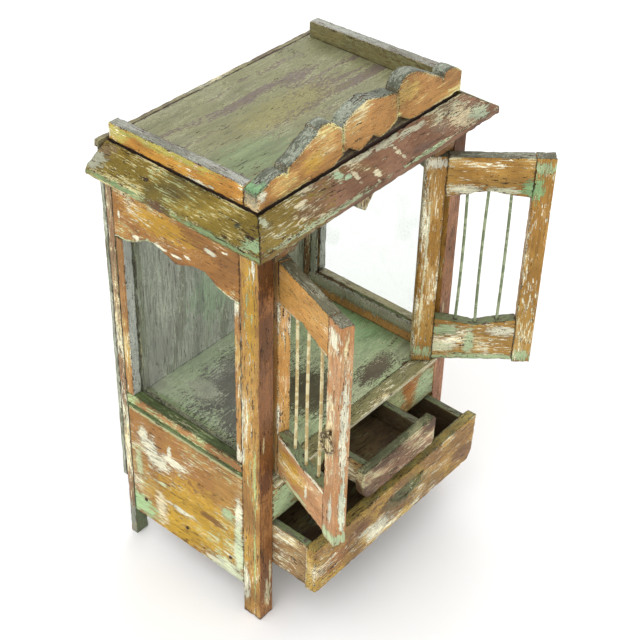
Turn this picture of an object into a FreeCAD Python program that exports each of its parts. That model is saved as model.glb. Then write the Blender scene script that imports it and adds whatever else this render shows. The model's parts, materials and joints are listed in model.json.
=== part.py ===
"""Miniature bookcase: a glazed display cabinet with two wire-barred doors, two drawers and a
scalloped gallery on top.  Millimetres, +Z up, front faces -Y.  Each STEP file is one physical
piece, placed where it sits with both doors and both drawers standing open, which is the rest
position.  The pieces are drawn about the middle of the four feet, and written out about the
middle of the whole box that the open cabinet fills, on the floor: see BOX_MIDDLE."""
import FreeCAD
import Part
import math
import os

V = FreeCAD.Vector
os.makedirs("parts", exist_ok=True)

BOX_MIDDLE = (9.7, -42.4)  # middle of the open cabinet's box, from the middle of the feet

# ---- carcass ---------------------------------------------------------------------------------
HALF_W = 132.0            # outer face of the posts
FRONT, BACK = -84.0, 84.0  # front face of the front posts, rear face of the rear legs
POST_W, POST_D = 17.0, 20.0
LEG_W, LEG_D = 15.0, 8.0
FRAME_TOP = 430.0         # tops of posts, legs and top rails
PANEL_T = 8.0             # lower side panels
PANEL_X = 131.4           # their outer face, a little shy of the posts
PANEL_Z = (34.0, 165.0)
BACK_T = 5.0
BACK_Z0 = 73.0
POST_IN = HALF_W - POST_W           # inner face of a front post
POST_REAR = FRONT + POST_D
LEG_FRONT = BACK - LEG_D
PANEL_IN = PANEL_X - PANEL_T

# ---- side windows ----------------------------------------------------------------------------
FRAME_T = 10.5            # thickness of the window stiles and rails
FRAME_IN = HALF_W - FRAME_T
WIN_Y = (-57.0, 67.0)     # clear opening, front to back
SILL_Z = (167.0, 180.5)   # bottom rail of the window
ARCH_Z = 349.0            # foot of the scalloped top rail
# scalloped lower edge: share of the half opening from the middle, rise above ARCH_Z
SIDE_SCALLOP = [(0.0, 5.0), (0.13, 7.5), (0.28, 11.0), (0.42, 12.8), (0.55, 11.5),
                (0.68, 6.5), (0.82, 2.6), (1.0, 0.4)]
GLASS_T = 2.0
BEAD_T = 4.0              # inner frame that holds the glass
BEAD_ROUND = 3.4          # how far the moulding along its foot stands out

# ---- floor, sill, apron, top rail ------------------------------------------------------------
FLOOR_Z = (153.0, 160.0)
SILL_TOP, SILL_BOT = 160.5, 155.5
SILL_Y = (-87.0, -70.5)
APRON_T = 8.0
APRON_Z0 = 114.0
# end of the apron bracket, from its top to its bottom: x, z
APRON_END = [(41.0, 155.5), (42.0, 148.5), (45.0, 142.0), (50.0, 135.8), (56.0, 130.0),
             (62.5, 123.8), (68.0, 118.6), (71.5, 114.0)]
TOP_RAIL_T = 12.5
TOP_RAIL_Z0 = 396.5       # lower edge of the front top rail, away from its ends
EAR_Z0, EAR_W = 388.5, 24.0          # its ends reach lower, to take the door pins

# ---- top, cornice, gallery -------------------------------------------------------------------
TOP_X = 124.0
TOP_Y0 = -75.6
TOP_Z = 436.6
CORNICE_IN = 6.0          # top edge, inside the carcass faces
CORNICE_OUT = 18.6        # lower edge, outside them
CORNICE_TOP, CORNICE_LIP, CORNICE_BOT = 435.5, 421.0, 414.0
CORNICE_WALL_Z = 424.5    # where its back leaves the carcass
CORNICE_T = 4.0           # width of the lower lip
RAIL_X = 126.0            # outer face of the gallery
RAIL_T = 11.0
GALLERY_FRONT = -77.6
GALLERY_T = 14.0
GALLERY_REAR = 81.0
# sawn upper edge of the front gallery rail, left to right: x, height above the top board.
# Each curve meets the next in a notch; the two short runs are saw cuts beside the end blocks.
GALLERY_EDGE = [
    [(-126.0, 16.4), (-120.0, 18.2), (-114.0, 19.8), (-106.0, 22.4), (-100.0, 22.2), (-95.0, 21.2)],
    [(-95.0, 21.2), (-93.6, 18.4)],
    [(-92.4, 23.8), (-86.0, 26.0), (-79.0, 29.2), (-72.0, 33.2), (-66.0, 36.0), (-60.4, 37.8)],
    [(-59.0, 41.0), (-55.0, 42.4), (-50.7, 42.8), (-44.0, 41.4), (-39.5, 38.6), (-35.0, 34.8),
     (-29.8, 30.6)],
    [(-29.8, 30.6), (-26.0, 34.6), (-20.5, 38.2), (-12.8, 40.6), (-3.3, 42.2)],
    [(-1.4, 43.4), (5.0, 41.6), (14.2, 38.8), (21.0, 37.3), (27.0, 36.4), (33.0, 35.0),
     (38.0, 32.0)],
    [(38.0, 32.0), (40.0, 37.6), (43.5, 41.8), (48.0, 44.3), (54.0, 44.8), (60.0, 43.6),
     (66.5, 41.2), (73.3, 38.0), (82.0, 33.0), (90.6, 28.0), (97.0, 24.4)],
    [(97.0, 24.4), (99.0, 20.8)],
    [(100.2, 24.6), (104.5, 26.8), (109.5, 27.4), (116.0, 25.6), (122.0, 22.0), (126.0, 18.4)]]
# its foot, right to left: three pointed arches, each of two curves
GALLERY_FOOT = [
    [(66.0, 0.0), (57.4, 1.3), (49.0, 5.0), (41.4, 10.0)],
    [(41.4, 10.0), (36.0, 6.2), (30.0, 3.4), (24.0, 1.7), (18.6, 1.2)],
    [(18.6, 1.2), (14.0, 3.4), (8.8, 7.0)],
    [(8.8, 7.0), (4.5, 4.3), (0.0, 2.1), (-5.0, 0.0)],
    [(-8.0, 0.0), (-14.5, 3.8), (-20.8, 8.4)],
    [(-20.8, 8.4), (-26.9, 6.2), (-32.0, 3.2), (-40.0, 0.0)]]
# V-cuts on its front face, from a notch in the upper edge down to an arch: x and height, twice
GALLERY_CUTS = [((-29.8, 30.6), (-26.2, 7.0)), ((38.0, 32.0), (41.0, 10.0))]
V_CUT = (1.6, 1.1)        # width, depth

# ---- doors -----------------------------------------------------------------------------------
DOOR_W = 112.2
DOOR_Z = (164.0, 387.0)
DOOR_F, DOOR_B = 5.5, 6.5            # front and back faces from the pivot line
PIVOT_IN = 12.6                      # pivot line from the hinge edge of the door
DOOR_GAP = 0.8                       # hinge edge to post
PIVOT_X = POST_IN - DOOR_GAP - PIVOT_IN
PIVOT_Y = FRONT + DOOR_F
HINGE_STILE, LOCK_STILE = 19.5, 17.5
HINGE_ROUND = 13.0                   # the hinge edge is rounded about the pivot line
LEFT_OPEN, RIGHT_OPEN = 109.6, 130.4
DOOR_RAIL_IN = 0.3                   # rails stand back from the stile faces
DOOR_TOP_Z = 346.5                   # lower edge of the top rail at its ends
DOOR_LOW_Z = (166.5, 213.5)          # bottom rail, at its ends
DOOR_ARCH = [(0.0, 6.2), (0.3, 4.2), (0.52, 2.6), (0.76, 1.4), (1.0, 0.0)]
TENON = (5.0, 4.0)                   # length, thickness; clear of the pivot pins
WIRE_R = 1.35
WIRE_AT = (0.26, 0.51, 0.77)
WIRE_BOW = (1.3, -0.9, 0.8)
PIN_R, PIN_HOLE = 1.5, 1.56

# ---- ring pull -------------------------------------------------------------------------------
RING_R, RING_WIRE = 8.4, 1.1
EYE_R, EYE_WIRE = 3.2, 0.9
EYE_OFF = 3.4                        # middle of the eye from the door face
EYE_Z = 281.0

# ---- turn-button -----------------------------------------------------------------------------
BUTTON_AT = (27.8, 400.8)
BUTTON_Y = (-71.2, -65.2)
BUTTON_LEN, BUTTON_W = 36.0, 17.5
BUTTON_TILT = 40.0                   # from hanging straight down, towards -X

# ---- big drawer ------------------------------------------------------------------------------
BIG_OUT = -133.0                     # outer face of the front, drawn out
BIG_FRONT_T = 11.0
BIG_X = (-116.0, 121.0)
BIG_Z = (58.0, 111.0)
BIG_SIDE_X, BIG_SIDE_T = 114.2, 8.0
BIG_SIDE_Z = (61.0, 110.0)
BIG_REAR = 33.0
BIG_BACK_TOP = 105.0
BIG_BOTTOM_Z = (64.0, 68.0)
GROOVE = 3.0
RUNNER_Z = (52.7, 60.7)
RUNNER_W = 20.4

# ---- small drawer ----------------------------------------------------------------------------
SMALL_OUT = -132.4
SMALL_FRONT_T = 9.5
SMALL_HALF = 52.5
SMALL_Z = (122.0, 155.0)
SMALL_SIDE_X, SMALL_SIDE_T = 40.6, 7.6
SMALL_SIDE_Z = (125.3, 152.0)
SMALL_REAR = -22.9
SMALL_BACK_TOP = 147.0
SMALL_BOTTOM_Z = (128.0, 132.0)
BEARER_Z = (115.0, 125.0)
BEARER_Y = (-76.0, -66.0)
GUIDE_X = (31.0, 46.0)
GUIDE_RISE = 8.0


# ---- shape helpers ---------------------------------------------------------------------------
def box(x0, x1, y0, y1, z0, z1):
    """Block between two corners, in any order."""
    lo = V(min(x0, x1), min(y0, y1), min(z0, z1))
    return Part.makeBox(abs(x1 - x0), abs(y1 - y0), abs(z1 - z0), lo)


def slab(points, direction):
    """Flat board: a closed outline of 3-D points, thickened along a vector."""
    pts = [V(*p) for p in points]
    return Part.Face(Part.makePolygon(pts + [pts[0]])).extrude(V(*direction))


def curve(points):
    """Smooth edge through a list of 3-D points."""
    spline = Part.BSplineCurve()
    spline.interpolate([V(*p) for p in points])
    return spline.toShape()


def cut_board(edges, direction):
    """Flat board whose outline mixes curves with straight runs; gaps are closed by straight edges."""
    loop = []
    for k, edge in enumerate(edges):
        loop.append(edge)
        end = edge.valueAt(edge.LastParameter)
        start = edges[(k + 1) % len(edges)]
        start = start.valueAt(start.FirstParameter)
        if (end - start).Length > 1e-6:
            loop.append(Part.makeLine(end, start))
    return Part.Face(Part.Wire(loop)).extrude(V(*direction))


def line(a, b):
    return Part.makeLine(V(*a), V(*b))


def rod(start, end, radius):
    a, b = V(*start), V(*end)
    return Part.makeCylinder(radius, (b - a).Length, a, b - a)


def flip(shape):
    """The same piece on the other side of the cabinet."""
    return shape.mirror(V(0, 0, 0), V(1, 0, 0))


def turned(shape, x, y, degrees):
    """Copy turned about a vertical line."""
    out = shape.copy()
    out.rotate(V(x, y, 0), V(0, 0, 1), degrees)
    return out


def softened(shape, radius, pick):
    """Worn arrises: the picked straight edges are rounded."""
    edges = [e for e in shape.Edges if pick(e)]
    return shape.makeFillet(radius, edges) if edges else shape


def along(axis):
    """Edge filter: straight edges that run along one axis."""
    def pick(edge):
        if len(edge.Vertexes) != 2:
            return False
        d = edge.Vertexes[1].Point - edge.Vertexes[0].Point
        return d.Length > 1.0 and abs(abs(d[axis]) - d.Length) < 1e-6
    return pick


def both(edge_filter, test):
    return lambda e: edge_filter(e) and test(e.CenterOfMass)


def save(name, shape):
    shape = shape.removeSplitter()
    solids = shape.Solids
    out = solids[0] if len(solids) == 1 else Part.makeCompound(solids)
    out.translate(V(-BOX_MIDDLE[0], -BOX_MIDDLE[1], 0))
    if not out.isValid():
        raise RuntimeError("bad shape: " + name)
    out.exportStep("parts/" + name + ".step")
    print(f"{name:28s} {out.Volume / 1000:8.2f} cm3  solids {len(solids)}")


def save_pair(name, left):
    save(name + "_left", left)
    save(name + "_right", flip(left))


def save_group(name, left):
    """Two like pieces, left and right, kept together under one name."""
    save(name, Part.makeCompound(left.Solids + flip(left).Solids))


# ---- carcass pieces --------------------------------------------------------------------------
def front_post():
    post = box(-HALF_W, -POST_IN, FRONT, POST_REAR, 0, FRAME_TOP)
    return softened(post, 0.8, both(along(2), lambda c: c.y < FRONT + 1))


def rear_leg():
    leg = box(-HALF_W, -HALF_W + LEG_W, LEG_FRONT, BACK, 0, FRAME_TOP)
    return leg.cut(back_nails())


def back_panel():
    board = box(-HALF_W, HALF_W, BACK, BACK + BACK_T, BACK_Z0, FRAME_TOP)
    for x in (-66.0, 0.0, 66.0):     # V-joints between the four planks, on the rear face
        y = BACK + BACK_T
        board = board.cut(slab([(x - 0.9, y, BACK_Z0 - 1), (x + 0.9, y, BACK_Z0 - 1),
                                (x, y - 1.2, BACK_Z0 - 1)], (0, 0, 400)))
    return board.cut(back_nails())


def back_nails():
    nails = []
    for side in (-1, 1):
        x = side * (HALF_W - LEG_W / 2)
        for k in range(5):
            z = 88.0 + k * 82.0
            shank = rod((x, BACK + BACK_T, z), (x, BACK - 6.0, z), 0.8)
            head = rod((x, BACK + BACK_T + 0.7, z), (x, BACK + BACK_T, z), 1.9)
            nails.append(shank.fuse(head))
    return Part.makeCompound(nails)


def side_panel():
    z0, z1 = PANEL_Z
    panel = box(-PANEL_X, -PANEL_IN, POST_REAR, LEG_FRONT, z0, z1)
    panel = softened(panel, 0.9, both(along(1), lambda c: c.x < -PANEL_X + 1))
    return panel.cut(runner_nails(-1))


def runner_nails(side):
    """Nails through a side panel into the drawer runner behind it."""
    z = sum(RUNNER_Z) / 2
    nails = []
    for y in (-48.0, 6.0, 60.0):
        shank = rod((side * PANEL_X, y, z), (side * (PANEL_IN - 8.0), y, z), 0.8)
        head = rod((side * (PANEL_X + 0.6), y, z), (side * PANEL_X, y, z), 1.8)
        nails.append(shank.fuse(head))
    return Part.makeCompound(nails)


# ---- side window -----------------------------------------------------------------------------
def window_top_rail():
    mid, half = sum(WIN_Y) / 2, (WIN_Y[1] - WIN_Y[0]) / 2
    x = -HALF_W
    rear = [(x, mid + s * half, ARCH_Z + h) for s, h in reversed(SIDE_SCALLOP)]
    front = [(x, mid - s * half, ARCH_Z + h) for s, h in SIDE_SCALLOP]
    return cut_board([line((x, LEG_FRONT, FRAME_TOP), (x, LEG_FRONT, ARCH_Z)), curve(rear),
                      curve(front), line((x, POST_REAR, ARCH_Z), (x, POST_REAR, FRAME_TOP))],
                     (FRAME_T, 0, 0))


def window_stiles():
    """Front and rear stile of one window, a little shy of the rails."""
    spans = ((POST_REAR, WIN_Y[0]), (WIN_Y[1], LEG_FRONT))
    return Part.makeCompound([box(-HALF_W + 0.4, -FRAME_IN, y0, y1, SILL_Z[1], ARCH_Z)
                              for y0, y1 in spans])


def window_bottom_rail():
    """Sill of the window, with a small half-round moulding worked along its foot."""
    (z0, z1), x, y = SILL_Z, -HALF_W, POST_REAR
    edge = [(-FRAME_IN, y, z0), (-FRAME_IN, y, z1), (x + 1.2, y, z1), (x, y, z1 - 1.2),
            (x, y, z0 + 4.2), (x - 0.9, y, z0 + 3.8), (x - 1.4, y, z0 + 2.6),
            (x - 1.4, y, z0 + 1.4), (x - 0.9, y, z0 + 0.4), (x, y, z0)]
    return slab(edge, (0, LEG_FRONT - POST_REAR, 0))


def glass_frame():
    """Rebated inner frame that holds the pane: a half-round moulding runs along its lower rail, and
    a bevelled foot closes the joint to the floor."""
    x0, x1 = -FRAME_IN, -FRAME_IN + BEAD_T
    y0, y1, z0, z1 = WIN_Y[0], WIN_Y[1], SILL_Z[1], ARCH_Z + 15.0
    frame = box(x0, x1, POST_REAR, LEG_FRONT, SILL_Z[0], z1 + 8.0)
    frame = frame.cut(box(x0 - 1, x1 + 1, y0 - 0.5, y1 + 0.5, z0 - 0.5, z1))
    foot = slab([(-PANEL_IN, POST_REAR, FLOOR_Z[1]), (x1 + 3.5, POST_REAR, FLOOR_Z[1]),
                 (x1 + 2.5, POST_REAR, FLOOR_Z[1] + 3.0), (x1, POST_REAR, SILL_Z[0] + 1.5),
                 (x0, POST_REAR, SILL_Z[0] + 1.5), (x0, POST_REAR, SILL_Z[0]),
                 (-PANEL_IN, POST_REAR, SILL_Z[0])], (0, LEG_FRONT - POST_REAR, 0))
    low, high = SILL_Z[0] + 1.5, z0 - 0.5
    section = [(0.0, low), (0.55, low + 1.5), (1.0, (low + high) / 2), (0.62, high - 1.6),
               (0.0, high)]
    moulding = cut_board([curve([(x1 + BEAD_ROUND * s, POST_REAR, z) for s, z in section])],
                         (0, LEG_FRONT - POST_REAR, 0))
    return frame.fuse(foot).fuse(moulding).cut(pane())


def pane():
    x0 = -FRAME_IN
    return box(x0, x0 + GLASS_T, WIN_Y[0] - 3.5, WIN_Y[1] + 3.5, SILL_Z[1] - 3.5, ARCH_Z + 18.0)


# ---- front of the carcass --------------------------------------------------------------------
def floor_board():
    y0, z = SILL_Y[1] + 0.5, FLOOR_Z[0]
    right = [(POST_IN, y0, z), (POST_IN, POST_REAR, z), (PANEL_IN, POST_REAR, z),
             (PANEL_IN, LEG_FRONT, z), (HALF_W - LEG_W, LEG_FRONT, z), (HALF_W - LEG_W, BACK, z)]
    left = [(-x, y, z) for x, y, z in reversed(right)]
    return slab(right + left, (0, 0, FLOOR_Z[1] - z))


def front_sill():
    sill = box(-POST_IN, POST_IN, *SILL_Y, SILL_BOT, SILL_TOP)
    sill = softened(sill, 1.2, both(along(0), lambda c: c.y < SILL_Y[0] + 1))
    for x in (-PIVOT_X, PIVOT_X):
        sill = sill.cut(rod((x, PIVOT_Y, SILL_TOP - 4.4), (x, PIVOT_Y, SILL_TOP + 1), PIN_HOLE))
    return sill


def apron_bracket():
    end = curve([(-x, FRONT, z) for x, z in APRON_END])
    return cut_board([line((-POST_IN, FRONT, APRON_Z0), (-POST_IN, FRONT, SILL_BOT)), end],
                     (0, APRON_T, 0))


def front_top_rail():
    """Rail with two ears that reach down at its ends, to the door pins."""
    rail = box(-POST_IN, POST_IN, FRONT, FRONT + TOP_RAIL_T, EAR_Z0, FRAME_TOP)
    x = POST_IN - EAR_W
    rail = rail.cut(slab([(-x, FRONT - 1, EAR_Z0 - 1), (x, FRONT - 1, EAR_Z0 - 1),
                          (x - 1, FRONT - 1, EAR_Z0), (x - 8, FRONT - 1, TOP_RAIL_Z0),
                          (8 - x, FRONT - 1, TOP_RAIL_Z0), (1 - x, FRONT - 1, EAR_Z0)],
                         (0, TOP_RAIL_T + 2, 0)))
    for x in (-PIVOT_X, PIVOT_X):
        rail = rail.cut(rod((x, PIVOT_Y, EAR_Z0 - 1), (x, PIVOT_Y, EAR_Z0 + 9), PIN_HOLE))
    return rail.cut(button_pin())


# ---- top -------------------------------------------------------------------------------------
def cornice_section():
    """Offset outwards from the carcass face, height: a sloping board with a square lip."""
    return [(-CORNICE_IN, CORNICE_TOP), (CORNICE_OUT, CORNICE_LIP), (CORNICE_OUT, CORNICE_BOT),
            (CORNICE_OUT - CORNICE_T, CORNICE_BOT), (0.0, CORNICE_WALL_Z), (0.0, FRAME_TOP),
            (-CORNICE_IN, FRAME_TOP)]


def mitre_wedge(side, before):
    """What lies before, or else beside, the 45-degree mitre at one front corner."""
    r = 60.0
    x, y = side * HALF_W, FRONT
    third = (x - side * r, y - r, 400) if before else (x + side * r, y + r, 400)
    return slab([(x + side * r, y - r, 400), (x - side * r, y + r, 400), third], (0, 0, 50))


def cornice_side():
    run = BACK - (FRONT - CORNICE_OUT)
    board = slab([(-HALF_W - o, FRONT - CORNICE_OUT, z) for o, z in cornice_section()],
                 (0, run, 0))
    return board.cut(mitre_wedge(-1, True))


def cornice_front():
    x = HALF_W + CORNICE_OUT
    board = slab([(-x, FRONT - o, z) for o, z in cornice_section()], (2 * x, 0, 0))
    return board.cut(mitre_wedge(-1, False)).cut(mitre_wedge(1, False))


def top_board():
    return box(-TOP_X, TOP_X, TOP_Y0, BACK, FRAME_TOP, TOP_Z)


def rear_batten():
    return box(-HALF_W - 2.5, HALF_W + 2.5, BACK, BACK + BACK_T + 0.6, FRAME_TOP, TOP_Z)


def gallery_front():
    y = GALLERY_FRONT
    edges = [curve([(x, y, TOP_Z + h) for x, h in run]) for run in GALLERY_EDGE]
    edges.append(line((RAIL_X, y, TOP_Z + GALLERY_EDGE[-1][-1][1]), (RAIL_X, y, TOP_Z)))
    edges += [curve([(x, y, TOP_Z + h) for x, h in run]) for run in GALLERY_FOOT]
    edges.append(line((-RAIL_X, y, TOP_Z), (-RAIL_X, y, TOP_Z + GALLERY_EDGE[0][0][1])))
    rail = cut_board(edges, (0, GALLERY_T, 0))
    for (x0, h0), (x1, h1) in GALLERY_CUTS:
        w, depth = V_CUT[0] / 2, V_CUT[1]
        z0, z1 = TOP_Z + h0 + 2, TOP_Z + h1 - 2
        groove = Part.makeLoft([
            Part.makePolygon([V(x - w, y, z), V(x, y + depth, z), V(x + w, y, z),
                              V(x, y - 1, z), V(x - w, y, z)]) for x, z in ((x1, z1), (x0, z0))],
            True, True)
        rail = rail.cut(groove)
    return rail


def gallery_side():
    y0, y1 = GALLERY_FRONT + GALLERY_T, GALLERY_REAR
    rail = slab([(-RAIL_X, y0, TOP_Z), (-RAIL_X, y1, TOP_Z), (-RAIL_X, y1, TOP_Z + 15.2),
                 (-RAIL_X, y0 + 40, TOP_Z + 17.6), (-RAIL_X, y0, TOP_Z + 18.4)], (RAIL_T, 0, 0))
    return softened(rail, 1.6, both(along(0), lambda c: c.y > y1 - 1 and c.z > TOP_Z + 5))


# ---- drawer support --------------------------------------------------------------------------
def big_runner():
    runner = box(-PANEL_IN, -PANEL_IN + RUNNER_W, POST_REAR, LEG_FRONT, *RUNNER_Z)
    return runner.cut(runner_nails(-1))


def bearers():
    """Cross rails under the small drawer: one between the posts, one between the legs."""
    front = box(-POST_IN, POST_IN, *BEARER_Y, *BEARER_Z)
    rear = box(-HALF_W + LEG_W, HALF_W - LEG_W, LEG_FRONT, BACK, *BEARER_Z)
    return Part.makeCompound([front, rear])


def small_runner():
    base = box(-GUIDE_X[1], -GUIDE_X[0], BEARER_Y[1], LEG_FRONT, *BEARER_Z)
    guide = box(-GUIDE_X[1], -SMALL_SIDE_X - 0.4, BEARER_Y[1], LEG_FRONT,
                BEARER_Z[1], BEARER_Z[1] + GUIDE_RISE)
    return base.fuse(guide)


# ---- turn-button -----------------------------------------------------------------------------
def button_pin():
    x, z = BUTTON_AT
    shank = rod((x, FRONT + 4.0, z), (x, BUTTON_Y[1] + 0.2, z), 1.5)
    return shank.fuse(rod((x, BUTTON_Y[1] + 0.2, z), (x, BUTTON_Y[1] + 1.6, z), 3.2))


def turn_button():
    x, z = BUTTON_AT
    y0, t, w, r = BUTTON_Y[0], BUTTON_Y[1] - BUTTON_Y[0], BUTTON_W / 2, BUTTON_W / 2 - 1.5
    body = slab([(x - r, y0, z), (x - w, y0, z - BUTTON_LEN + 3), (x - w + 4, y0, z - BUTTON_LEN),
                 (x + w, y0, z - BUTTON_LEN + 1), (x + r, y0, z)], (0, t, 0))
    body = body.fuse(Part.makeCylinder(r, t, V(x, y0, z), V(0, 1, 0)))
    body = body.cut(Part.makeCylinder(PIN_HOLE, t + 2, V(x, y0 - 1, z), V(0, 1, 0)))
    body.rotate(V(x, y0, z), V(0, 1, 0), BUTTON_TILT)
    return body


# ---- door: drawn closed on the left, then turned to its open place ---------------------------
DOOR_X0 = -POST_IN + DOOR_GAP            # hinge edge
DOOR_X1 = DOOR_X0 + DOOR_W
RAIL_X0, RAIL_X1 = DOOR_X0 + HINGE_STILE, DOOR_X1 - LOCK_STILE
DOOR_Y0, DOOR_Y1 = PIVOT_Y - DOOR_F, PIVOT_Y + DOOR_B


def tenon(x_end, side, z0, z1):
    length, t = TENON
    y = (DOOR_Y0 + DOOR_Y1) / 2
    return box(x_end, x_end + side * length, y - t / 2, y + t / 2, z0, z1)


def door_rail(upper):
    """Top rail with an arched lower edge, or the bottom rail with a dipped upper edge."""
    mid, half = (RAIL_X0 + RAIL_X1) / 2, (RAIL_X1 - RAIL_X0) / 2
    y = DOOR_Y0 + DOOR_RAIL_IN
    zs, flat, sign = (DOOR_TOP_Z, DOOR_Z[1] - 0.4, 1) if upper else \
        (DOOR_LOW_Z[1], DOOR_LOW_Z[0], -1)
    arch = [(mid + s * half, y, zs + sign * h) for s, h in reversed(DOOR_ARCH)]
    arch += [(mid - s * half, y, zs + sign * h) for s, h in DOOR_ARCH[1:]]
    rail = cut_board([curve(arch), line((RAIL_X0, y, flat), (RAIL_X1, y, flat))],
                     (0, DOOR_Y1 - DOOR_Y0 - 2 * DOOR_RAIL_IN, 0))
    lo, hi = sorted((zs + sign * 5, flat - sign * 5))
    for x, side in ((RAIL_X0, -1), (RAIL_X1, 1)):
        rail = rail.fuse(tenon(x, side, lo, hi))
    return rail


def door_wires():
    """Three slightly bent upright wires, let into both rails."""
    wires = []
    y = (DOOR_Y0 + DOOR_Y1) / 2
    z0, z1 = DOOR_LOW_Z[1] - 12.0, DOOR_TOP_Z + 12.0
    for share, bow in zip(WIRE_AT, WIRE_BOW):
        x = RAIL_X0 + share * (RAIL_X1 - RAIL_X0)
        path = Part.Arc(V(x, y, z0), V(x + bow, y, (z0 + z1) / 2), V(x, y, z1)).toShape()
        start = path.tangentAt(path.FirstParameter)
        ring = Part.Wire(Part.makeCircle(WIRE_R, V(x, y, z0), start))
        wires.append(Part.Wire(path).makePipeShell([ring], True, True))
    return Part.makeCompound(wires)


def door_pins():
    lower = rod((-PIVOT_X, PIVOT_Y, SILL_TOP - 4.0), (-PIVOT_X, PIVOT_Y, DOOR_Z[0] + 9), PIN_R)
    upper = rod((-PIVOT_X, PIVOT_Y, DOOR_Z[1] - 9), (-PIVOT_X, PIVOT_Y, EAR_Z0 + 8), PIN_R)
    return Part.makeCompound([lower, upper])


def hinge_stile():
    x1 = RAIL_X0
    stile = box(DOOR_X0, x1, DOOR_Y0, DOOR_Y1, *DOOR_Z)
    near = box(DOOR_X0 - 1, DOOR_X0 + 6, DOOR_Y0 - 1, DOOR_Y1 + 1, DOOR_Z[0] - 1, DOOR_Z[1] + 1)
    core = Part.makeCylinder(HINGE_ROUND, 300, V(-PIVOT_X, PIVOT_Y, 120))
    stile = stile.cut(near.cut(core))
    return stile.cut(Part.makeCompound([door_rail(True), door_rail(False), door_pins()]))


def lock_stile():
    stile = box(RAIL_X1, DOOR_X1, DOOR_Y0, DOOR_Y1, *DOOR_Z)
    stile = softened(stile, 0.9, both(along(2), lambda c: c.x > DOOR_X1 - 1))
    return stile.cut(Part.makeCompound([door_rail(True), door_rail(False)]))


EYE_X = (RAIL_X1 + DOOR_X1) / 2 - 0.5


def ring_eye():
    """Wire staple: a loop in the upright plane square to the door, with its shank in the stile."""
    y = DOOR_Y0 - EYE_OFF
    loop = Part.makeTorus(EYE_R, EYE_WIRE, V(EYE_X, y, EYE_Z), V(1, 0, 0))
    shank = rod((EYE_X, y + EYE_R - 0.4, EYE_Z), (EYE_X, DOOR_Y0 + 6.0, EYE_Z), 1.1)
    return loop.fuse(shank)


RING_TOP = EYE_Z - (EYE_R - EYE_WIRE - RING_WIRE) + 0.12


def pull_ring():
    y = DOOR_Y0 - EYE_OFF
    return Part.makeTorus(RING_R, RING_WIRE, V(EYE_X, y, RING_TOP - RING_R), V(0, 1, 0))


def swing_left(shape):
    return turned(shape, -PIVOT_X, PIVOT_Y, -LEFT_OPEN)


def swing_right(shape):
    return turned(flip(shape), PIVOT_X, PIVOT_Y, RIGHT_OPEN)


# ---- drawers ---------------------------------------------------------------------------------
def big_front():
    y0, y1 = BIG_OUT, BIG_OUT + BIG_FRONT_T
    (x0, x1), (z0, z1) = BIG_X, BIG_Z
    front = slab([(x0, y0, z0 + 2), (x0 + 2, y0, z0), (x1 - 9, y0, z0), (x1 - 2.5, y0, z0 + 9),
                  (x1, y0, z1 - 1), (x1 - 1, y0, z1), (x0, y0, z1)], (0, y1 - y0, 0))
    return front.cut(finger_recess()).cut(big_bottom())


def finger_recess():
    """Half-lens scoop in the drawer front: a slanted drum that bites deepest at its flat top."""
    x, z_top, half, drop, depth = 13.0, 96.5, 25.0, 13.0, 4.6
    r = (half * half + drop * drop) / (2 * drop)
    drum = Part.makeCylinder(r, 30, V(x, BIG_OUT - 12, z_top + r - drop), V(0, 1, 0))
    tilt = slab([(x - 40, BIG_OUT - 2, z_top), (x - 40, BIG_OUT + depth, z_top),
                 (x - 40, BIG_OUT - 1.2, z_top - drop - 3.4), (x - 40, BIG_OUT - 2, z_top - 20)],
                (80, 0, 0))
    return drum.common(tilt)


def big_side():
    y0 = BIG_OUT + BIG_FRONT_T
    side = box(-BIG_SIDE_X, -BIG_SIDE_X + BIG_SIDE_T, y0, BIG_REAR, *BIG_SIDE_Z)
    side = softened(side, 1.0, both(along(1), lambda c: c.z > BIG_SIDE_Z[1] - 1))
    return side.cut(big_bottom())


def big_back():
    x = BIG_SIDE_X - BIG_SIDE_T
    return box(-x, x, BIG_REAR - 8.0, BIG_REAR, BIG_SIDE_Z[0], BIG_BACK_TOP)


def big_bottom():
    x = BIG_SIDE_X - BIG_SIDE_T + GROOVE
    return box(-x, x, BIG_OUT + BIG_FRONT_T - GROOVE, BIG_REAR - 8.0, *BIG_BOTTOM_Z)


def small_front():
    y0, t, h = SMALL_OUT, SMALL_FRONT_T, SMALL_HALF
    z0, z1 = SMALL_Z
    front = slab([(-h, y0, z0 + 14), (-h + 5, y0, z0 + 3), (-h + 9, y0, z0), (h - 4, y0, z0),
                  (h - 1, y0, z0 + 6), (h, y0, z1 - 4), (h - 2.5, y0, z1), (-h + 1.5, y0, z1),
                  (-h, y0, z1 - 2)], (0, t, 0))
    return front.cut(small_bottom())


def small_side():
    y0 = SMALL_OUT + SMALL_FRONT_T
    side = box(-SMALL_SIDE_X, -SMALL_SIDE_X + SMALL_SIDE_T, y0, SMALL_REAR, *SMALL_SIDE_Z)
    return side.cut(small_bottom())


def small_back():
    x = SMALL_SIDE_X - SMALL_SIDE_T
    return box(-x, x, SMALL_REAR - 7.0, SMALL_REAR, SMALL_SIDE_Z[0], SMALL_BACK_TOP)


def small_bottom():
    x = SMALL_SIDE_X - SMALL_SIDE_T + GROOVE
    return box(-x, x, SMALL_OUT + SMALL_FRONT_T - GROOVE, SMALL_REAR - 7.0, *SMALL_BOTTOM_Z)


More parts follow.
